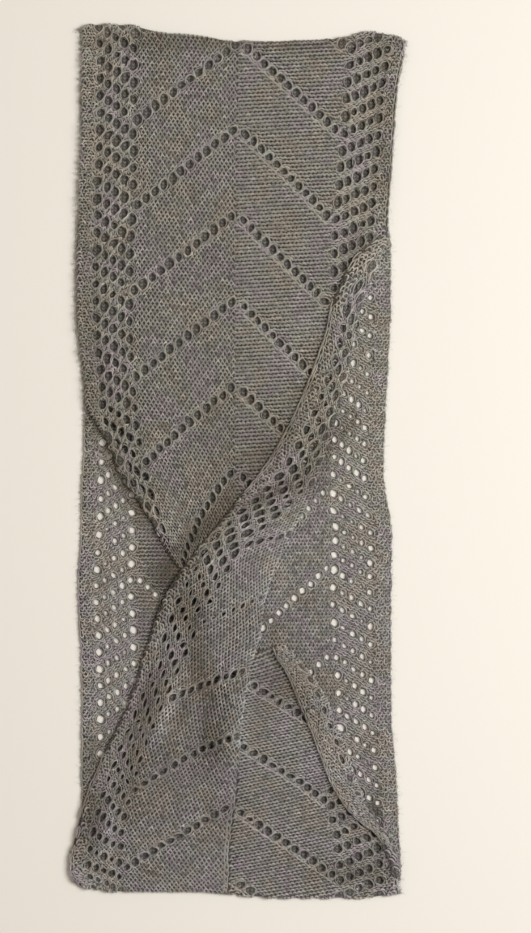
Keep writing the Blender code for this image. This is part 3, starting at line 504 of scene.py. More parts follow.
def seam_beside(surface, tab, vs, sign):
    """A line on the table a gap away from that one, and a little more where the fold is loose."""
    loose = WALL * (1 - np.clip(read(tab, "turned", vs), 0, 1))
    return beside(places(surface, past_fold(tab, vs, sign)), -GAP - loose * LOOSE_ROOM)


def side_rows(tab, vs, sign):
    """Lines of points round a side fold, where it is well turned."""
    length = fold_length(tab, vs)
    vs, length = vs[length > HALF_TURN / 2], length[length > HALF_TURN / 2]
    fold = read(tab, "fold_u", vs)
    round_it = np.minimum(HALF_TURN, ROLLED * length)
    return [pairs(fold + sign * round_it * part, vs) for part in FOLD_ROWS]


def shape_upper():
    us = span(0, STRIP_WIDTH, GRID)
    x = upper_x(us, np.full_like(us, UPPER["v"][0]))
    start = TOP_Y - read(TOP_END, "y", x) + FOLD_REACH
    rows = [pairs(us, start - past) for past in FOLD_PASTS]
    right_corner, left_corner = [row[-1] for row in rows[-2::-1]], [row[0] for row in rows[:-1]]
    tip = TOP_Y - CROSSING["edge_y"][0]
    right = [(STRIP_WIDTH, float(v)) for v in span(rows[0][-1][1], tip - TIP_ROOM, GRID)[1:]]
    under = span(CROSSING["v"][0], UPPER_END, GRID)
    seam = seam_beside(crossing, CROSSING, under, 1)
    seam = seam[seam[:, 1] < CROSSING["edge_y"][0] - 2 * TIP_ROOM]
    right += unroll(upper_front, seam, 150.0)
    unfolded = UPPER_FOLD["v"][1]
    left_vs = span(right[-1][1], unfolded, LEFT_STEP)
    left = past_fold(UPPER_FOLD, left_vs, -1)
    left += [(0.0, float(v)) for v in span(unfolded, rows[0][0][1], GRID)[1:-1]]
    guides = rows[:-1] + side_rows(UPPER_FOLD, left_vs, -1)
    return rows[-1] + right_corner + right + left + left_corner, guides


def shape_crossing():
    rows = end_rows(CROSSING, CROSSING_POINTS, span(SPINE, 0, GRID))
    tip = CROSSING["v"][0]
    under = span(tip, UPPER_END, GRID)
    lower = span(UPPER_END, SPINE_SEAM, GRID)[1:]
    spine = span(SPINE_SEAM, rows[0][0][1], GRID)[1:-1]
    vs = np.concatenate([under, lower, spine])
    right = past_fold(CROSSING, vs, 1) + [row[0] for row in rows[:-1]]
    left_vs = span(rows[0][-1][1], tip, GRID)
    left = [row[-1] for row in rows[-2:0:-1]] + pairs(read(CROSSING, "edge_u", left_vs), left_vs)
    guides = rows[:-1] + side_rows(CROSSING, np.concatenate([under, lower]), 1)
    return right + rows[-1] + left, guides


def shape_lower():
    rows = end_rows(LOWER, LOWER_POINTS, span(STRIP_WIDTH, SPINE, GRID))
    flap_vs = span(FLAP["v"][0], FLAP["v"][-1], FLAP_STEP)
    flap_vs = flap_vs[flap_vs < CORNER_FROM]
    seam = np.vstack([seam_beside(flap, FLAP, flap_vs, -1), LOWER_CORNER])
    right = unroll(lower_right, seam, 190.0) + [row[0] for row in rows[:-1]]
    spine_vs = span(SPINE_SEAM, end_v(CROSSING, CROSSING_POINTS, SPINE, 0.0), GRID)
    seam = beside(places(crossing, pairs(read(CROSSING, "fold_u", spine_vs), spine_vs)), GAP)[:-1]
    meeting = unroll(lower_right, seam, 130.0)
    left_vs = span(meeting[0][1] - GRID / 2, right[0][1], GRID)
    left = [row[-1] for row in rows[-2::-1]] + meeting[::-1]
    left += pairs(read(LOWER, "left_u", left_vs) - read(LOWER, "under", left_vs), left_vs)
    return right + rows[-1] + left, rows[:-1]


def shape_flap():
    vs = span(FLAP["v"][0], FLAP["v"][-1], FLAP_STEP)
    free = [(STRIP_WIDTH, float(v)) for v in vs]
    return free + past_fold(FLAP, vs, -1)[::-1], side_rows(FLAP, vs, -1)


def shape_back(ends):
    """The back layer stops short of both end folds, which belong to the front stretches."""
    top, bottom = ends
    lines = []
    for line, sign in ((top, -1), (bottom, 1)):
        x = np.array(line)[:, 0]
        y = np.array(line)[:, 1] + sign * GAP
        left, right = read(LEFT_SIDE, "x", y), read(RIGHT_SIDE, "x", y)
        u = np.clip(STRIP_WIDTH * (x - left) / (right - left), 0.0, STRIP_WIDTH)
        lines.append(pairs(u, TOP_Y - y))
    top, bottom = lines
    top = [(0.0, top[0][1])] * (top[0][0] > 0) + top
    top += [(STRIP_WIDTH, top[-1][1])] * (top[-1][0] < STRIP_WIDTH)
    bottom = [(STRIP_WIDTH, bottom[0][1])] * (bottom[0][0] < STRIP_WIDTH) + bottom
    bottom += [(0.0, bottom[-1][1])] * (bottom[-1][0] > 0)
    right = [(STRIP_WIDTH, float(v)) for v in span(top[-1][1], bottom[0][1], BACK_GRID)[1:-1]]
    left = [(0.0, float(v)) for v in span(bottom[-1][1], top[0][1], BACK_GRID)[1:-1]]
    return top + right + bottom + left, []


def inside(points, polygon):
    """Which of the points lie inside the polygon."""
    points = np.atleast_2d(points)
    ring = np.array(polygon)
    result = np.zeros(len(points), bool)
    for (ax, ay), (bx, by) in zip(ring, np.roll(ring, -1, axis=0)):
        if ay != by:
            crosses = (ay > points[:, 1]) != (by > points[:, 1])
            result ^= crosses & (points[:, 0] < ax + (points[:, 1] - ay) * (bx - ax) / (by - ay))
    return result


def distance_to(points, line, closed=True):
    """How far each point is from a line."""
    starts = np.array(line)
    ends = np.roll(starts, -1, axis=0)
    if not closed:
        starts, ends = starts[:-1], ends[:-1]
    best = np.full(len(points), np.inf)
    for a, b in zip(starts, ends):
        way = b - a
        t = np.clip(((points - a) @ way) / max(way @ way, 1e-9), 0, 1)
        best = np.minimum(best, np.hypot(*(points - a - t[:, None] * way).T))
    return best


def arm(style, sign):
    """Eyelets of one arm of a chevron, from the spine towards one edge, as (u, v) from its point."""
    (u0, v0), (du, dv), bend = style["start"], style["step"], style["bend"]
    return [(SPINE + sign * (u0 + du * i), v0 + dv * i + bend * i * i) for i in range(EYELETS_PER_ARM)]


def arms(first, last, style, sign):
    """The arms on one side of the chevrons first to last, each a list of its eyelets."""
    return [[(u, FIRST_POINT + CHEVRON * k + v) for u, v in arm(style, sign)] for k in range(first, last + 1)]


def back_arms(style, sign):
    """Arms on one side of the back layer, whose chevrons point down."""
    return [(u, point - v) for point in BACK_POINTS for u, v in arm(style, sign)]


def joined(rows):
    return [point for row in rows for point in row]


def border(first_v, last_v):
    """Eyelets of the mesh borders along both edges, from three rows before the first chevron."""
    found = []
    for mesh, near in (LEFT_MESH, 0.0), (RIGHT_MESH, STRIP_WIDTH):
        for c in range(BORDER_COLUMNS):
            u = abs(near - mesh["outer"] - mesh["across"] * c)
            start = BORDER_FIRST - mesh["along"] * (BORDER_COLUMNS - 1 - c) - 3 * BORDER_PITCH
            vs = np.arange(start, last_v, BORDER_PITCH)
            found += [(u, v) for v in vs[vs > first_v]]
    return found


def flap_column():
    """The one column of eyelets that shows on the flap."""
    column = FLAP_COLUMN
    return [(column["u"], column["first"] + column["pitch"] * n) for n in range(column["count"])]


def back_mesh(columns, meshes):
    """Some columns of the back layer's mesh borders, counted from the outermost."""
    found = []
    for mesh in meshes:
        rows = np.arange(mesh["row"][0], mesh["row"][-1] + 1)
        for c in columns:
            part = c / (BORDER_COLUMNS - 1)
            u = read(mesh, "outer", rows) * (1 - part) + read(mesh, "inner", rows) * part
            found += pairs(u, read(mesh, "v", rows) - BACK_SLANT * c)
    return found


def eyelets(groups):
    """Rows of u, v, radius, and how much and which way each is drawn out, without any that would overlap.

    A group is its points, their radius, how much that varies, and how much and which way they are drawn out.
    """
    kept, rows = [], []
    for points, radius, vary, drawn, heading in groups:
        for point in np.array(points):
            if not kept or np.hypot(*(np.array(kept) - point).T).min() > EYELETS_APART:
                kept.append(point)
                spot = point + dice.normal(0, EYELET_OFF, 2)
                size = radius * (1 + vary * np.clip(dice.normal(), -2, 2))
                rows.append([*spot, size, drawn * dice.uniform(*EYELET_DRAWN),
                             heading + dice.normal(0, EYELET_TURN)])
    return np.array(rows)


def rims(holes, angles):
    """Points round each eyelet, which is a rounded diamond drawn out along its heading."""
    u, v, radius, drawn, heading = holes.T[:, :, None]
    at = angles[None] + heading
    reach = radius * (1 + drawn * np.cos(2 * angles[None]) + EYELET_CORNERS * np.cos(4 * angles[None]))
    return u + reach * np.cos(at), v + reach * np.sin(at)


def clearance(points, outline, guides):
    best = distance_to(points, outline)
    for line in guides:
        if len(line) > 1:
            best = np.minimum(best, distance_to(points, line, closed=False))
    return best


def uncovered(points, surface, covers, margin):
    """Which of the flat points are under none of the covers, but for a margin along their rims."""
    above = places(surface, points)
    clear = np.ones(len(points), bool)
    for cover in covers:
        clear &= ~(inside(above, cover) & (distance_to(above, cover) > margin))
    return clear


def lay(surface, u, v, lift):
    """Points that lie above the middle of the cloth by lift, and the cloth's normals there."""
    shape = u.shape
    u, v = u.ravel(), v.ravel()
    if surface is flap:
        u = np.minimum(u, STRIP_WIDTH - 0.1)
    middle = np.array(surface(u, v)).T
    across = np.array(surface(u + NORMAL_STEP, v)).T - np.array(surface(u - NORMAL_STEP, v)).T
    along = np.array(surface(u, v + NORMAL_STEP)).T - np.array(surface(u, v - NORMAL_STEP)).T
    normal = np.cross(along, across)
    size = np.linalg.norm(normal, axis=1)[:, None]
    normal /= np.where(size > 1e-9, size, np.nan) * (-1 if surface is flap else 1)
    placed = middle + normal * lift.reshape(-1, 1)
    return placed.reshape(*shape, 3), normal.reshape(*shape, 3)


def shading(points):
    """Painted shade and painted highlight: share of its full lightness that the wool is painted with at each
    point.
    """
    share = np.ones(len(points))
    for x, y, long, wide, turned, most in zip(*SHADES.values()):
        dx, dy = points[:, 0] - x, points[:, 1] - y
        cos, sin = np.cos(np.radians(turned)), np.sin(np.radians(turned))
        far = ((dx * cos + dy * sin) / long) ** 2 + ((dy * cos - dx * sin) / wide) ** 2
        share *= 1 + (most - 1) * np.exp(-far / 2)
    return share


def put(name, data, place=(0.0, 0.0, 0.0)):
    """A new object in the scene."""
    item = bpy.data.objects.new(name, data)
    item.location = place
    bpy.context.collection.objects.link(item)
    return item


def add_mesh(name, points, faces, materials, tints=1.0):
    """A smooth mesh in metres that rides on the scarf, with a flat map from above for its textures."""
    points[:, 2] = np.maximum(points[:, 2], 0.0)
    mesh = bpy.data.meshes.new(name)
    mesh.from_pydata((points * MM).tolist(), [], faces)
    mesh.shade_smooth()
    for material in materials:
        mesh.materials.append(material)
    low = points.min(axis=0)
    size = (points.max(axis=0) - low)[:2].max()
    corners = np.zeros(len(mesh.loops), int)
    mesh.loops.foreach_get("vertex_index", corners)
    # Each point's colour: the painted shade and painted highlight, the lower half's hue, and each length's own
    # tint
    tints_and_painted_shade = np.ones((len(points), 4))
    lower = np.clip(-points[:, 1:2] / LOWER_FULLY, 0, 1)
    tints_and_painted_shade[:, :3] = shading(points)[:, None] ** SHADE_HUE * (1 + (LOWER_HUE - 1) * lower)
    tints_and_painted_shade[:, :3] *= tints
    tint = mesh.color_attributes.new("tint", "FLOAT_COLOR", "POINT")
    tint.data.foreach_set("color", tints_and_painted_shade.ravel())
    flat_map = mesh.uv_layers.new(name="OFBake")
    flat_map.data.foreach_set("uv", ((points[corners] - low)[:, :2] / size).ravel())
    item = put(name, mesh)
    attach(item, "root")
    return item


def shell(name, surface, shape, holes, step, materials):
    """One stretch of cloth as a thin closed shell, triangulated round its eyelets and along its folds."""
    outline, guides = shape
    spots = holes[:, :2]
    holes = holes[inside(spots, outline) & (clearance(spots, outline, guides) > SHELL_MARGIN)]
    points = [tuple(p) for p in outline]
    edges = [(i, (i + 1) % len(outline)) for i in range(len(outline))]
    for line in guides:
        edges += [(len(points) + i, len(points) + i + 1) for i in range(len(line) - 1)]
        points += line
    owner = [-1] * len(points)
    angles = 2 * np.pi * np.arange(EYELET_SIDES) / EYELET_SIDES
    for n, (us, vs) in enumerate(zip(*rims(holes, angles))):
        start = len(points)
        points += list(zip(us, vs))
        owner += [n] * EYELET_SIDES
        edges += [(start + k, start + (k + 1) % EYELET_SIDES) for k in range(EYELET_SIDES)]
    low, high = np.min(outline, axis=0), np.max(outline, axis=0)
    grid = []
    for n, v in enumerate(np.arange(low[1] + step / 2, high[1], step)):
        grid += [(u, v) for u in np.arange(low[0] + step * (n % 2 + 1) / 2, high[0], step)]
    grid = np.array(grid)
    grid = grid[inside(grid, outline) & (clearance(grid, outline, guides) > step * EDGE_ROOM)]
    grid = grid[nearest(grid, holes) > step * EYELET_ROOM]
    points += [tuple(p) for p in grid]
    owner += [-1] * len(grid)
    flat, _, faces, came_from, _, _ = delaunay_2d_cdt([Vector(p) for p in points], edges, [], 0, 1e-3)
    owner = [owner[source[0]] if source else -1 for source in came_from]
    flat = np.array([tuple(p) for p in flat])
    centres = np.array([flat[list(face)].mean(axis=0) for face in faces])
    kept = []
    for face, good in zip(faces, inside(centres, outline)):
        owners = {owner[i] for i in face}
        if good and not (len(owners) == 1 and owners != {-1}):
            kept.append(face)
    used = sorted({i for face in kept for i in face})
    index = {old: new for new, old in enumerate(used)}
    u, v = flat[used].T
    over, under = (lay(surface, u, v, np.full_like(u, lift))[0] for lift in (SHELL_OVER, -SHELL_UNDER))
    a, b, c = kept[0]
    clockwise = (np.cross(flat[b] - flat[a], flat[c] - flat[a]) > 0) != (surface is flap)
    tops = [[index[i] for i in (face[::-1] if clockwise else face)] for face in kept]
    count = len(used)
    unders = [[i + count for i in ring[::-1]] for ring in tops]
    borders = {edge for ring in tops for edge in zip(ring, ring[1:] + ring[:1])}
    walls = []
    for p, q in sorted(borders):
        if (q, p) not in borders:
            walls += [[q, p, p + count], [q, p + count, q + count]]
    item = add_mesh(name, np.vstack([over, under]), tops + unders + walls, materials)
    for polygon in item.data.polygons[len(tops):]:
        polygon.material_index = 1
    return item


def unit(ways):
    return ways / (np.linalg.norm(ways, axis=2)[..., None] + 1e-9)


def tubes(surface, u, v, lift, radii, closed=False, tint=(1.0, TINT_LIGHT)):
    """Three-sided lengths of yarn through flat points (n, k), lifted. Smooth shading makes them look round.

    Lengths that leave the cloth, or would be stretched across an eyelet, are left out.
    """
    points, normals = lay(surface, u, v, lift)
    whole = (np.linalg.norm(np.diff(points, axis=1), axis=2) < LONGEST_STEP).all(axis=1)
    for values in points, normals:
        whole &= np.isfinite(values).all(axis=(1, 2))
    points, normals, radii = points[whole], normals[whole], radii[whole]
    n, k, _ = points.shape
    index = np.arange(n * k * 3).reshape(n, k, 3)
    if closed:
        way = np.roll(points, -1, axis=1) - np.roll(points, 1, axis=1)
        here, after = index, np.roll(index, -1, axis=1)
    else:
        way = np.gradient(points, axis=1)
        here, after = index[:, :-1], index[:, 1:]
    way = unit(way)
    side = unit(np.cross(way, normals))
    over = np.cross(side, way)
    corners = [points + radii[..., None] * (np.cos(angle) * side + np.sin(angle) * over)
               for angle in np.radians([90, 210, 330])]
    quads = [np.stack([here[..., s], here[..., t], after[..., t], after[..., s]], axis=-1).reshape(-1, 4)
             for s, t in ((0, 1), (1, 2), (2, 0))]
    light = dice.normal(*tint, (n, 1, 1)) + dice.normal(0, TINT_HUE, (n, 1, 3)) * HUE_VARIES
    tints = np.broadcast_to(light, (n, k * 3, 3)).reshape(-1, 3)
    return np.stack(corners, axis=2).reshape(-1, 3), np.vstack(quads), np.clip(tints, *TINT_LIMITS)


def chunks(points, holes):
    """Some flat points at a time: which, their ways from every eyelet's centre, and how long those are."""
    for start in range(0, len(points), CHUNK):
        part = slice(start, start + CHUNK)
        away = points[part, None] - holes[None, :, :2]
        yield part, away, np.hypot(away[..., 0], away[..., 1])


def nearest(points, holes):
    """Distance from each flat point to the nearest eyelet's rim."""
    return np.concatenate([(far - holes[None, :, 2]).min(axis=1) for _, _, far in chunks(points, holes)])


def spread(u, v, holes):
    """Pushes flat points away from the eyelets, so that none is left inside one."""
    flat = np.stack([u.ravel(), v.ravel()], axis=1)
    moved = flat.copy()
    clear, reach = holes[:, 2] + 0.1, holes[:, 2] + PUSH_REACH
    for part, away, far in chunks(flat, holes):
        near = far + 1e-6
        push = clear * np.clip(1 - near / reach, 0, 1)
        moved[part] += (away * (push / near)[..., None]).sum(axis=1)
    return moved[:, 0].reshape(u.shape), moved[:, 1].reshape(v.shape)


def cells(outline, u_range, size, tilt):
    """Centres of stitches, in rows that rise towards both edges, each row set over by half a stitch."""
    ring = np.array(outline)
    lean = tilt * STRIP_WIDTH
    rows = np.arange(np.floor((ring[:, 1].min() - 1) / size[1]), (ring[:, 1].max() + lean) / size[1] + 1)
    count = max(1, int(round((u_range[1] - u_range[0]) / size[0])))
    pitch = (u_range[1] - u_range[0]) / count
    found = []
    for row in rows:
        us = u_range[0] + (np.arange(count) + 0.25 + 0.5 * (row % 2)) * pitch
        found.append(np.column_stack([us, (row + 0.5) * size[1] - tilt * np.abs(us - SPINE)]))
    found = np.vstack(found)
    return found[inside(found, outline)]


def stitches(kind, centres, holes, surface, size, tilt, down, thin):
    """One length of yarn of that kind at every centre."""
    half, radius, tint, loose, twist = KINDS[kind]
    across, along, lift, thick = np.array(half + [(-x, *rest) for x, *rest in half[-2::-1]]).T
    n = len(centres)
    wide = size[0] * (1 + dice.normal(0, WIDTH_VARIES * loose, n))[:, None]
    tall = size[1] * (1 + dice.normal(0, HEIGHT_VARIES * loose, n))[:, None]
    x = across[None] * wide
    y = down * along[None] * tall
    turned = dice.normal(0, twist, n) - np.arctan(tilt) * np.sign(centres[:, 0] - SPINE)
    cos, sin = np.cos(turned)[:, None], np.sin(turned)[:, None]
    u = centres[:, :1] + x * cos - y * sin + dice.normal(0, PLACE_VARIES * loose, (n, 1))
    v = centres[:, 1:] + x * sin + y * cos + dice.normal(0, PLACE_VARIES * loose, (n, 1))
    u, v = spread(u, v, holes)
    lifts = lift[None] + dice.normal(0, LIFT_VARIES * loose, (n, 1))
    radii = radius * thick[None] * (1 + dice.normal(0, THICK_VARIES, (n, 1)))
    return tubes(surface, u, v, lifts * thin, radii, tint=tint)


def sides(holes, surface):
    """Two strands beside every eyelet, which part before it and meet again past it. One is the thicker."""
    parts = []
    at = np.linspace(-1, 1, RING_POINTS)[None]
    bulge = np.cos(at * np.pi / 2)
    each, all_points = (len(holes), 1), (len(holes), RING_POINTS)
    u, v, radius, drawn, heading = holes.T[:, :, None]
    swap = np.where(dice.uniform(0, 1, each) < SWAPPED, -1, 1) * np.sign(u - SPINE)
    for side, yarn in (-1, THICK_SIDE), (1, THIN_SIDE):
        out = (radius * (1 - drawn) + RING_GAP + yarn / 3) * bulge ** 0.75 + 0.35
        out *= side * swap * (1 + dice.normal(0, 0.08, each))
        along = radius * (1 + drawn) * RING_LONG * at + dice.normal(0, 0.4, each)
        us = u + along * np.cos(heading) - out * np.sin(heading)
        vs = v + along * np.sin(heading) + out * np.cos(heading)
        lift = 0.5 + (0.3 + 0.3 * yarn) * bulge + dice.normal(0, 0.14, all_points)
        thick = yarn * (0.7 + 0.4 * bulge) * (1 + dice.normal(0, 0.12, all_points))
        vertices, quads, tints = tubes(surface, us, vs, lift, thick)
        parts.append((vertices, quads, tints * RING_TINT))
    return parts


def chain(u, holes, surface, covers, outline):
    """A column of long slipped loops, as along a selvedge or the spine."""
    vs = np.arange(np.min(outline, axis=0)[1], np.max(outline, axis=0)[1], CHAIN_PITCH)
    centres = np.column_stack([np.full_like(vs, u), vs]) + dice.normal(0, 0.25, (len(vs), 2))
    for end in -CHAIN_PITCH, CHAIN_PITCH:
        centres = centres[inside(centres + (0, end), outline)]
    centres = centres[uncovered(centres, surface, covers, CHAINS_UNDER)]
    n = len(centres)
    angles = 2 * np.pi * np.arange(CHAIN_POINTS) / CHAIN_POINTS
    wide = CHAIN_WIDTH / 2 * (1 + dice.normal(0, 0.15, (n, 1)))
    us = centres[:, :1] + wide * np.cos(angles) + dice.normal(0, 0.15, (n, CHAIN_POINTS))
    vs = centres[:, 1:] + CHAIN_PITCH * CHAIN_LONG * np.sin(angles) * (1 + dice.normal(0, 0.08, (n, 1)))
    us, vs = spread(us, vs, holes)
    lift = 1.0 - 0.35 * np.sin(angles)[None] + dice.normal(0, 0.15, us.shape)
    return tubes(surface, us, vs, lift, CHAIN_RADIUS * (1 + dice.normal(0, 0.12, us.shape)), closed=True)


def rail(u, surface, covers, outline):
    """A smooth strand along a selvedge, in short lengths that overlap a little."""
    lengths = []
    for start in np.arange(np.min(outline, axis=0)[1] + 1, np.max(outline, axis=0)[1] - 1, RAIL_STEP):
        vs = np.linspace(start, start + RAIL_LENGTH, RAIL_POINTS)
        line = np.column_stack([u + dice.normal(0, 0.4, RAIL_POINTS), vs])
        if (inside(line, outline) & uncovered(line, surface, covers, RAILS_UNDER)).all():
            lengths.append(line)
    us, vs = np.array(lengths).transpose(2, 0, 1)
    lift = 0.55 + dice.normal(0, 0.08, us.shape)
    return tubes(surface, us, vs, lift, RAIL_RADIUS * (1 + dice.normal(0, 0.2, us.shape)))


def cords(rows, way, thick, holes, surface, covers, outline):
    """Raised cords of decreases, below the rows of eyelets and towards the spine from them."""
    at = np.linspace(-0.02, 1.06, CORD_POINTS)
    lengths = []
    for row in rows:
        row = np.array(row)
        run = (row[-1] - row[0]) / np.linalg.norm(row[-1] - row[0])
        aside = np.array([-run[1], run[0]])
        aside *= np.sign(aside[1]) * way
        line = row[0] + (row[-1] - row[0]) * at[:, None] + aside * CORD_OFFSET
        line += aside * (0.3 * np.sin(at * 130))[:, None]
        seen = inside(line, outline) & uncovered(line, surface, covers, CHAINS_UNDER)
        if not seen.all():
            runs = np.split(np.arange(len(line)), np.flatnonzero(np.diff(seen.astype(int))) + 1)
            best = max((part for part in runs if seen[part[0]]), key=len, default=[])
            if len(best) < CORD_LEAST:
                continue
            ends = line[best[0]], line[best[-1]]
            line = ends[0] + (ends[1] - ends[0]) * np.linspace(0, 1, CORD_POINTS)[:, None]
        lengths.append(line)
    us, vs = spread(*np.array(lengths).transpose(2, 0, 1), holes)
    lift = 1.05 + 0.25 * np.sin(np.arange(CORD_POINTS) * 2.1)[None] + dice.normal(0, 0.08, us.shape)
    return tubes(surface, us, vs, lift, thick * (1 + dice.normal(0, 0.1, us.shape)), tint=CORD_TINT)


def fibres(centres, surface):
    """Short stray hairs of wool."""
    each = len(centres), 1
    heading = dice.uniform(0, 2 * np.pi, each)
    bend = dice.normal(0, 0.9, each)
    length = dice.uniform(1.5, 4.5, each)
    along = np.linspace(0, 1, 4)[None]
    u = centres[:, :1] + length * along * np.cos(heading + bend * along)
    v = centres[:, 1:] + length * along * np.sin(heading + bend * along)
    lift = 0.9 + dice.uniform(0.2, 1.4, each) * np.sin(np.pi * along * 0.8)
    return tubes(surface, u, v, lift, np.full(u.shape, HAIR_RADIUS))


def gather(name, parts, material):
    """Joins lengths of yarn into one piece."""
    vertices, faces, tints = zip(*parts)
    bases = np.cumsum([0] + [len(points) for points in vertices])
    faces = np.vstack([quads + base for quads, base in zip(faces, bases)]).tolist()
    return add_mesh(name, np.vstack(vertices), faces, [material], np.vstack(tints))


def node(tree, kind, inputs, output, **settings):
    """One output of a new shader node, whose inputs are values or other nodes' outputs."""
    made = tree.nodes.new("ShaderNode" + kind)
    for name, value in settings.items():
        setattr(made, name, value)
    for key, value in inputs.items():
        if isinstance(value, bpy.types.NodeSocket):
            tree.links.new(value, made.inputs[key])
        else:
            made.inputs[key].default_value = value
    return made.outputs[output]


def noise(tree, place, kind):
    scale, detail = NOISES[kind]
    return node(tree, "TexNoise", {"Scale": scale, "Detail": detail, "Vector": place}, "Fac")


def times(tree, first, second):
    return node(tree, "Mix", {"Factor": 1.0, "A": first, "B": second}, "Result",
                data_type="RGBA", blend_type="MULTIPLY")


def maths(tree, kind, first, second):
    return node(tree, "Math", {0: first, 1: second}, 0, operation=kind)


def ramp(tree, source, stops):
    made = tree.nodes.new("ShaderNodeValToRGB")
    tree.links.new(source, made.inputs["Fac"])
    while len(made.color_ramp.elements) < len(stops):
        made.color_ramp.elements.new(0.5)
    for element, (at, colour) in zip(made.color_ramp.elements, stops):
        element.position = at
        element.color = (*np.broadcast_to(colour, 3), 1.0)
    return made.outputs["Color"]


def heather(tree, place, grey):
    """Mottled wool: faint patches of brownish, greenish and rosy grey, and a fine variation of lightness."""
    stops = [(at, np.array(hue) * grey) for at, hue in HEATHER]
    patches = ramp(tree, noise(tree, place, "patches"), stops)
    fine = ramp(tree, noise(tree, place, "fine"), [(0.3, 0.86), (0.7, 1.14)])
    # The tint attribute carries each length's own lightness, and the painted shade and painted highlight
    return times(tree, times(tree, patches, fine), node(tree, "Attribute", {}, "Color", attribute_name="tint"))


def v_stitches(tree, place):
    """How high plain knitting stands, drawn as rows of V stitches seen from above."""
    split = tree.nodes.new("ShaderNodeSeparateXYZ")
    tree.links.new(place, split.inputs["Vector"])
    column, row = (maths(tree, "MULTIPLY", split.outputs[axis], 1 / (MM * size))
                   for axis, size in zip("XY", DRAWN_STITCH))
    slope = maths(tree, "PINGPONG", column, 0.5)
    leg = maths(tree, "PINGPONG", maths(tree, "ADD", row, slope), 0.5)
    wale = maths(tree, "MINIMUM", maths(tree, "MULTIPLY", slope, 3.0), 1.0)
    return maths(tree, "MULTIPLY", maths(tree, "MULTIPLY", leg, 2.0), wale)


def wool(name, grey, drawn=False):
    """Yarn with a soft hairy surface, or knitting seen between the yarn, its stitches drawn with painted shade
    in their gaps.
    """
    material = bpy.data.materials.new(name)
    material.use_nodes = True
    tree = material.node_tree
    shader = tree.nodes["Principled BSDF"]
    for key, value in WOOL.items():
        shader.inputs[key].default_value = value
    place = node(tree, "TexCoord", {}, "Object")
    colour = heather(tree, place, grey)
    if drawn:
        height, strength, distance = v_stitches(tree, place), 0.9, 0.8 * MM
        # painted shade in the gaps between the drawn stitches
        colour = times(tree, colour, ramp(tree, height, [(0.0, 0.35), (0.75, 1.0)]))
    else:
        height, strength, distance = noise(tree, place, "hairs"), 0.5, 0.4 * MM
    tree.links.new(colour, shader.inputs["Base Color"])
    normal = node(tree, "Bump", {"Strength": strength, "Distance": distance, "Height": height}, "Normal")
    tree.links.new(normal, shader.inputs["Normal"])
    return material


def drawn_in(line, loose_left):
    """A line of the shell's outline, kept a little in from both selvedges."""
    kept = []
    for u, v in line:
        left = UPPER_INSET if loose_left and v < UPPER_INSET_END else SHELL_INSET
        kept.append((min(max(u, left), STRIP_WIDTH - SHELL_INSET), v))
    return kept


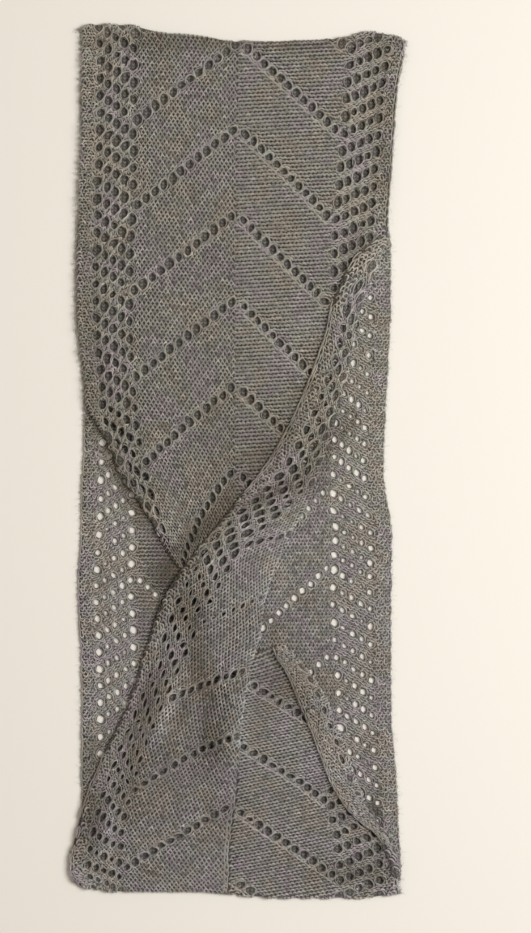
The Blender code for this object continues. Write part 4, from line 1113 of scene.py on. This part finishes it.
def dress(name, surface, shape, holes, plan, covers):
    """One stretch in place of its CAD node: shell, stitches, and strands, chains, cords and hairs."""
    down = plan.get("down", 1)
    outline, guides = shape
    yarn = wool(name + "_wool", plan["grey"])
    # The shell's top is painted shade: a darker copy of the wool for the knitting seen between the yarn. Its
    # underside and walls are a copy at 0.9.
    materials = [wool(name + end, plan["grey"] * share, drawn=True)
                 for end, share in (("_core", plan.get("core", 0.45)), ("_reverse", 0.9))]
    spots = holes[:, :2]
    holes = holes[inside(spots, outline) & (distance_to(spots, outline) > SHELL_MARGIN)]
    seen = holes[uncovered(holes[:, :2], surface, covers, EYELETS_UNDER)]
    inset, *folds = [drawn_in(line, plan.get("loose_left", False)) for line in [outline] + guides]
    base = shell(name + "_cloth", surface, (inset, folds), seen, plan.get("step", GRID), materials)
    pieces = []
    for kind, first, last, size, tilt in plan["bands"]:
        centres = cells(outline, (first, last), size, tilt)
        centres = centres[distance_to(centres, outline) > STITCH_INSET]
        centres = centres[uncovered(centres, surface, covers, STITCHES_UNDER)]
        centres = centres[nearest(centres, seen) > -INTO_EYELET]
        lengths = [stitches(kind, centres, seen, surface, size, tilt, down, plan.get("thin", 1))]
        pieces.append(gather(f"{name}_{kind}_{len(pieces)}", lengths, yarn))
    here = surface, covers, outline
    extra = sides(seen, surface)
    extra += [chain(u, seen, *here) for u in plan.get("chains", [])]
    extra += [rail(u, *here) for u in plan.get("rails", [])]
    extra += [cords(rows, down, thick, seen, *here) for rows, thick in plan.get("cords", [])]
    ring = np.array(outline)
    rim = np.vstack([ring + (np.roll(ring, -1, axis=0) - ring) * part for part in np.linspace(0, 0.9, 10)])
    extra.append(fibres(rim[uncovered(rim, surface, covers, 0.0)], surface))
    pieces.append(gather(name + "_details", extra, yarn))
    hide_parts(name)
    u, v = np.array(inset).T
    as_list(plan["rests_on"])


def studio():
    """A pale floor, a broad soft light from the right and a weak one from the other side, and the camera."""
    mesh = bpy.data.meshes.new("floor")
    corners = [(x * FLOOR_HALF, y * FLOOR_HALF, -GAP * MM) for x, y in ((-1, -1), (1, -1), (1, 1), (-1, 1))]
    mesh.from_pydata(corners, [], [(0, 1, 2, 3)])
    paint = bpy.data.materials.new("floor_paint")
    paint.use_nodes = True
    shader = paint.node_tree.nodes["Principled BSDF"]
    shader.inputs["Base Color"].default_value = FLOOR_COLOUR
    shader.inputs["Roughness"].default_value = 0.8
    mesh.materials.append(paint)
    put("floor", mesh)
    for name, place, size, power, colour in LIGHTS:
        light = bpy.data.lights.new(name, "AREA")
        light.size = size
        light.energy = power
        light.color = colour
        item = put(name, light, place)
        item.rotation_euler = (-Vector(place)).to_track_quat("-Z", "Y").to_euler()
    world = bpy.data.worlds.new("room")
    world.use_nodes = True
    background = world.node_tree.nodes["Background"]
    background.inputs["Color"].default_value = ROOM_COLOUR
    background.inputs["Strength"].default_value = ROOM_LIGHT
    scene = bpy.context.scene
    scene.world = world
    lens = bpy.data.cameras.new("camera")
    lens.sensor_width = 24.0
    lens.lens = lens.sensor_width * CAMERA_HEIGHT / PICTURE_LONG
    scene.camera = put("camera", lens, CAMERA_PLACE)
    scene.view_settings.view_transform = "Standard"


def main():
    studio()
    surfaces = {surface.__name__: surface for surface in (upper_front, crossing, lower_right, flap, back_layer)}
    shapes = {"upper_front": shape_upper(), "crossing": shape_crossing(), "lower_right": shape_lower(),
              "flap": shape_flap()}
    top_end = places(upper_front, shapes["upper_front"][0][:len(shapes["upper_front"][1][0])])
    crossing_end = end_rows(CROSSING, CROSSING_POINTS, span(SPINE, 0, GRID))[-1]
    lower_end = end_rows(LOWER, LOWER_POINTS, span(STRIP_WIDTH, SPINE, GRID))[-1]
    bottom_end = np.vstack([places(lower_right, lower_end), places(crossing, crossing_end)])
    shapes["back_layer"] = shape_back((top_end, bottom_end))
    above = {name: places(surfaces[name], shape[0]) for name, shape in shapes.items()}

    upper_knit = arms(-1, 4, KNIT_ARM, -1) + arms(5, 5, LAST_KNIT_ARM, -1)
    upper_purl = arms(-1, 5, PURL_ARM, 1)
    drawn_shut = arms(6, 6, KNIT_ARM, -1)  # this row is drawn nearly shut where the band narrows
    lower_knit = arms(2, 5, KNIT_ARM, -1)
    for n, style in enumerate(LOWER_KNIT_ARMS):
        lower_knit += arms(7 + n, 7 + n, style, -1)
    lower_purl = arms(7, 10, LOWER_PURL_ARM, 1)
    inner, outer, between = BORDER_COLUMNS - 1, 0, range(1, BORDER_COLUMNS - 1)
    # Groups of eyelets: points, radius, how much that varies, and how much and which way they are drawn out
    lists = {
        "upper_front": eyelets([
            (joined(upper_knit), 3.0, 0.09, 0.10, 1.8), (joined(upper_purl), 2.8, 0.08, 0.16, 1.3),
            (border(-40, 480), 3.0, 0.12, 0.1, 1.6)]),
        "crossing": eyelets([
            (joined(lower_knit), 2.75, 0.1, 0.12, 2.2), (joined(drawn_shut), 1.6, 0.2, 0.2, 2.2),
            (border(100, 440), 2.9, 0.16, 0.12, 1.6), (border(440, 610), 2.05, 0.16, 0.25, 1.6),
            (border(610, 740), 2.5, 0.14, 0.1, 1.6)]),
        "lower_right": eyelets([
            (joined(lower_purl), 2.7, 0.1, 0.14, 1.3), (border(600, 740), 2.9, 0.12, 0.1, 1.6)]),
        "flap": eyelets([(flap_column(), 2.6, 0.1, 0.15, 1.6)]),
        "back_layer": eyelets([
            (back_arms(BACK_KNIT_ARM, 1) + back_arms(BACK_PURL_ARM, -1), 2.35, 0.1, 0.1, 1.6),
            (back_mesh([inner], BACK_MESHES), 2.7, 0.12, 0.1, 1.2),
            (back_mesh([outer], BACK_MESHES[:1]), 2.7, 0.12, 0.1, 1.2),
            (back_mesh([outer], BACK_MESHES[1:]), 2.25, 0.14, 0.1, 1.2),
            (back_mesh(between, BACK_MESHES), 2.1, 0.16, 0.2, 1.2)])}

    # Bands of each stretch: kind, first and last u, width and height of a stitch, and slope of its rows
    knit, purl, garter = (3.4, 2.72), (3.1, 3.05), (2.9, 2.4)
    back_knit, mesh, bold = (3.0, 2.8), (3.3, 3.0), (3.2, 2.65)
    far_band, far_edge = STRIP_WIDTH - GARTER_BAND, STRIP_WIDTH - SELVEDGE
    plans = {
        "back_layer": dict(
            covers=["upper_front", "crossing", "lower_right", "flap"], rests_on=["floor"], flat=(248, 694),
            step=BACK_GRID, down=-1, grey=0.385, thin=0.7, core=0.56, loose_left=True,
            bands=[("garter", 1.4, GARTER_BAND, garter, 0.0), ("purl", GARTER_BAND, 43.0, mesh, -0.6),
                   ("purl", 43.0, SPINE, purl, 0.0), ("knit", SPINE, 204.0, back_knit, 0.0),
                   ("purl", 204.0, far_band, mesh, -0.5),
                   ("garter", far_band, STRIP_WIDTH - 1.4, garter, 0.0)],
            rails=[RAIL, STRIP_WIDTH - RAIL]),
        "upper_front": dict(
            covers=["crossing"], rests_on=["back_layer_cloth"], flat=(248, 512), grey=0.39, core=0.42,
            loose_left=True,
            bands=[("garter", 2.6, GARTER_BAND, garter, 0.0), ("knit", GARTER_BAND, 40.0, mesh, 0.6),
                   ("knit", 40.0, SPINE, knit, 0.09), ("purl", SPINE, 206.0, purl, 0.06),
                   ("purl", 206.0, far_band, mesh, 0.45), ("garter", far_band, far_edge, garter, 0.0)],
            chains=[STRIP_WIDTH - 2.0], cords=[(upper_purl, 0.68)]),
        "lower_right": dict(
            covers=["crossing", "flap"], rests_on=["back_layer_cloth"], flat=(124, 262), grey=0.372,
            bands=[("purl", SPINE, far_band, purl, 0.2), ("garter", far_band, far_edge, garter, 0.1)],
            chains=[STRIP_WIDTH - 2.6], rails=[STRIP_WIDTH - RAIL], cords=[(lower_purl, 0.75)]),
        "flap": dict(
            covers=[], rests_on=["lower_right_cloth"], flat=(40, 222), grey=0.39,
            bands=[("garter", 208, far_band, bold, 0.0), ("garter", far_band, far_edge, bold, 0.0)],
            chains=[STRIP_WIDTH - 2.6], rails=[STRIP_WIDTH - RAIL]),
        "crossing": dict(
            covers=[], rests_on=["upper_front_cloth", "back_layer_cloth", "lower_right_cloth"],
            flat=(136, 572), grey=0.39,
            bands=[("garter", SELVEDGE, GARTER_BAND, bold, 0.0), ("knit", GARTER_BAND, 136, knit, 0.09)],
            chains=[2.6, SPINE - 1.5], rails=[RAIL]),
    }
    for name, plan in plans.items():
        dress(name, surfaces[name], shapes[name], lists[name], plan, [above[c] for c in plan["covers"]])


main()
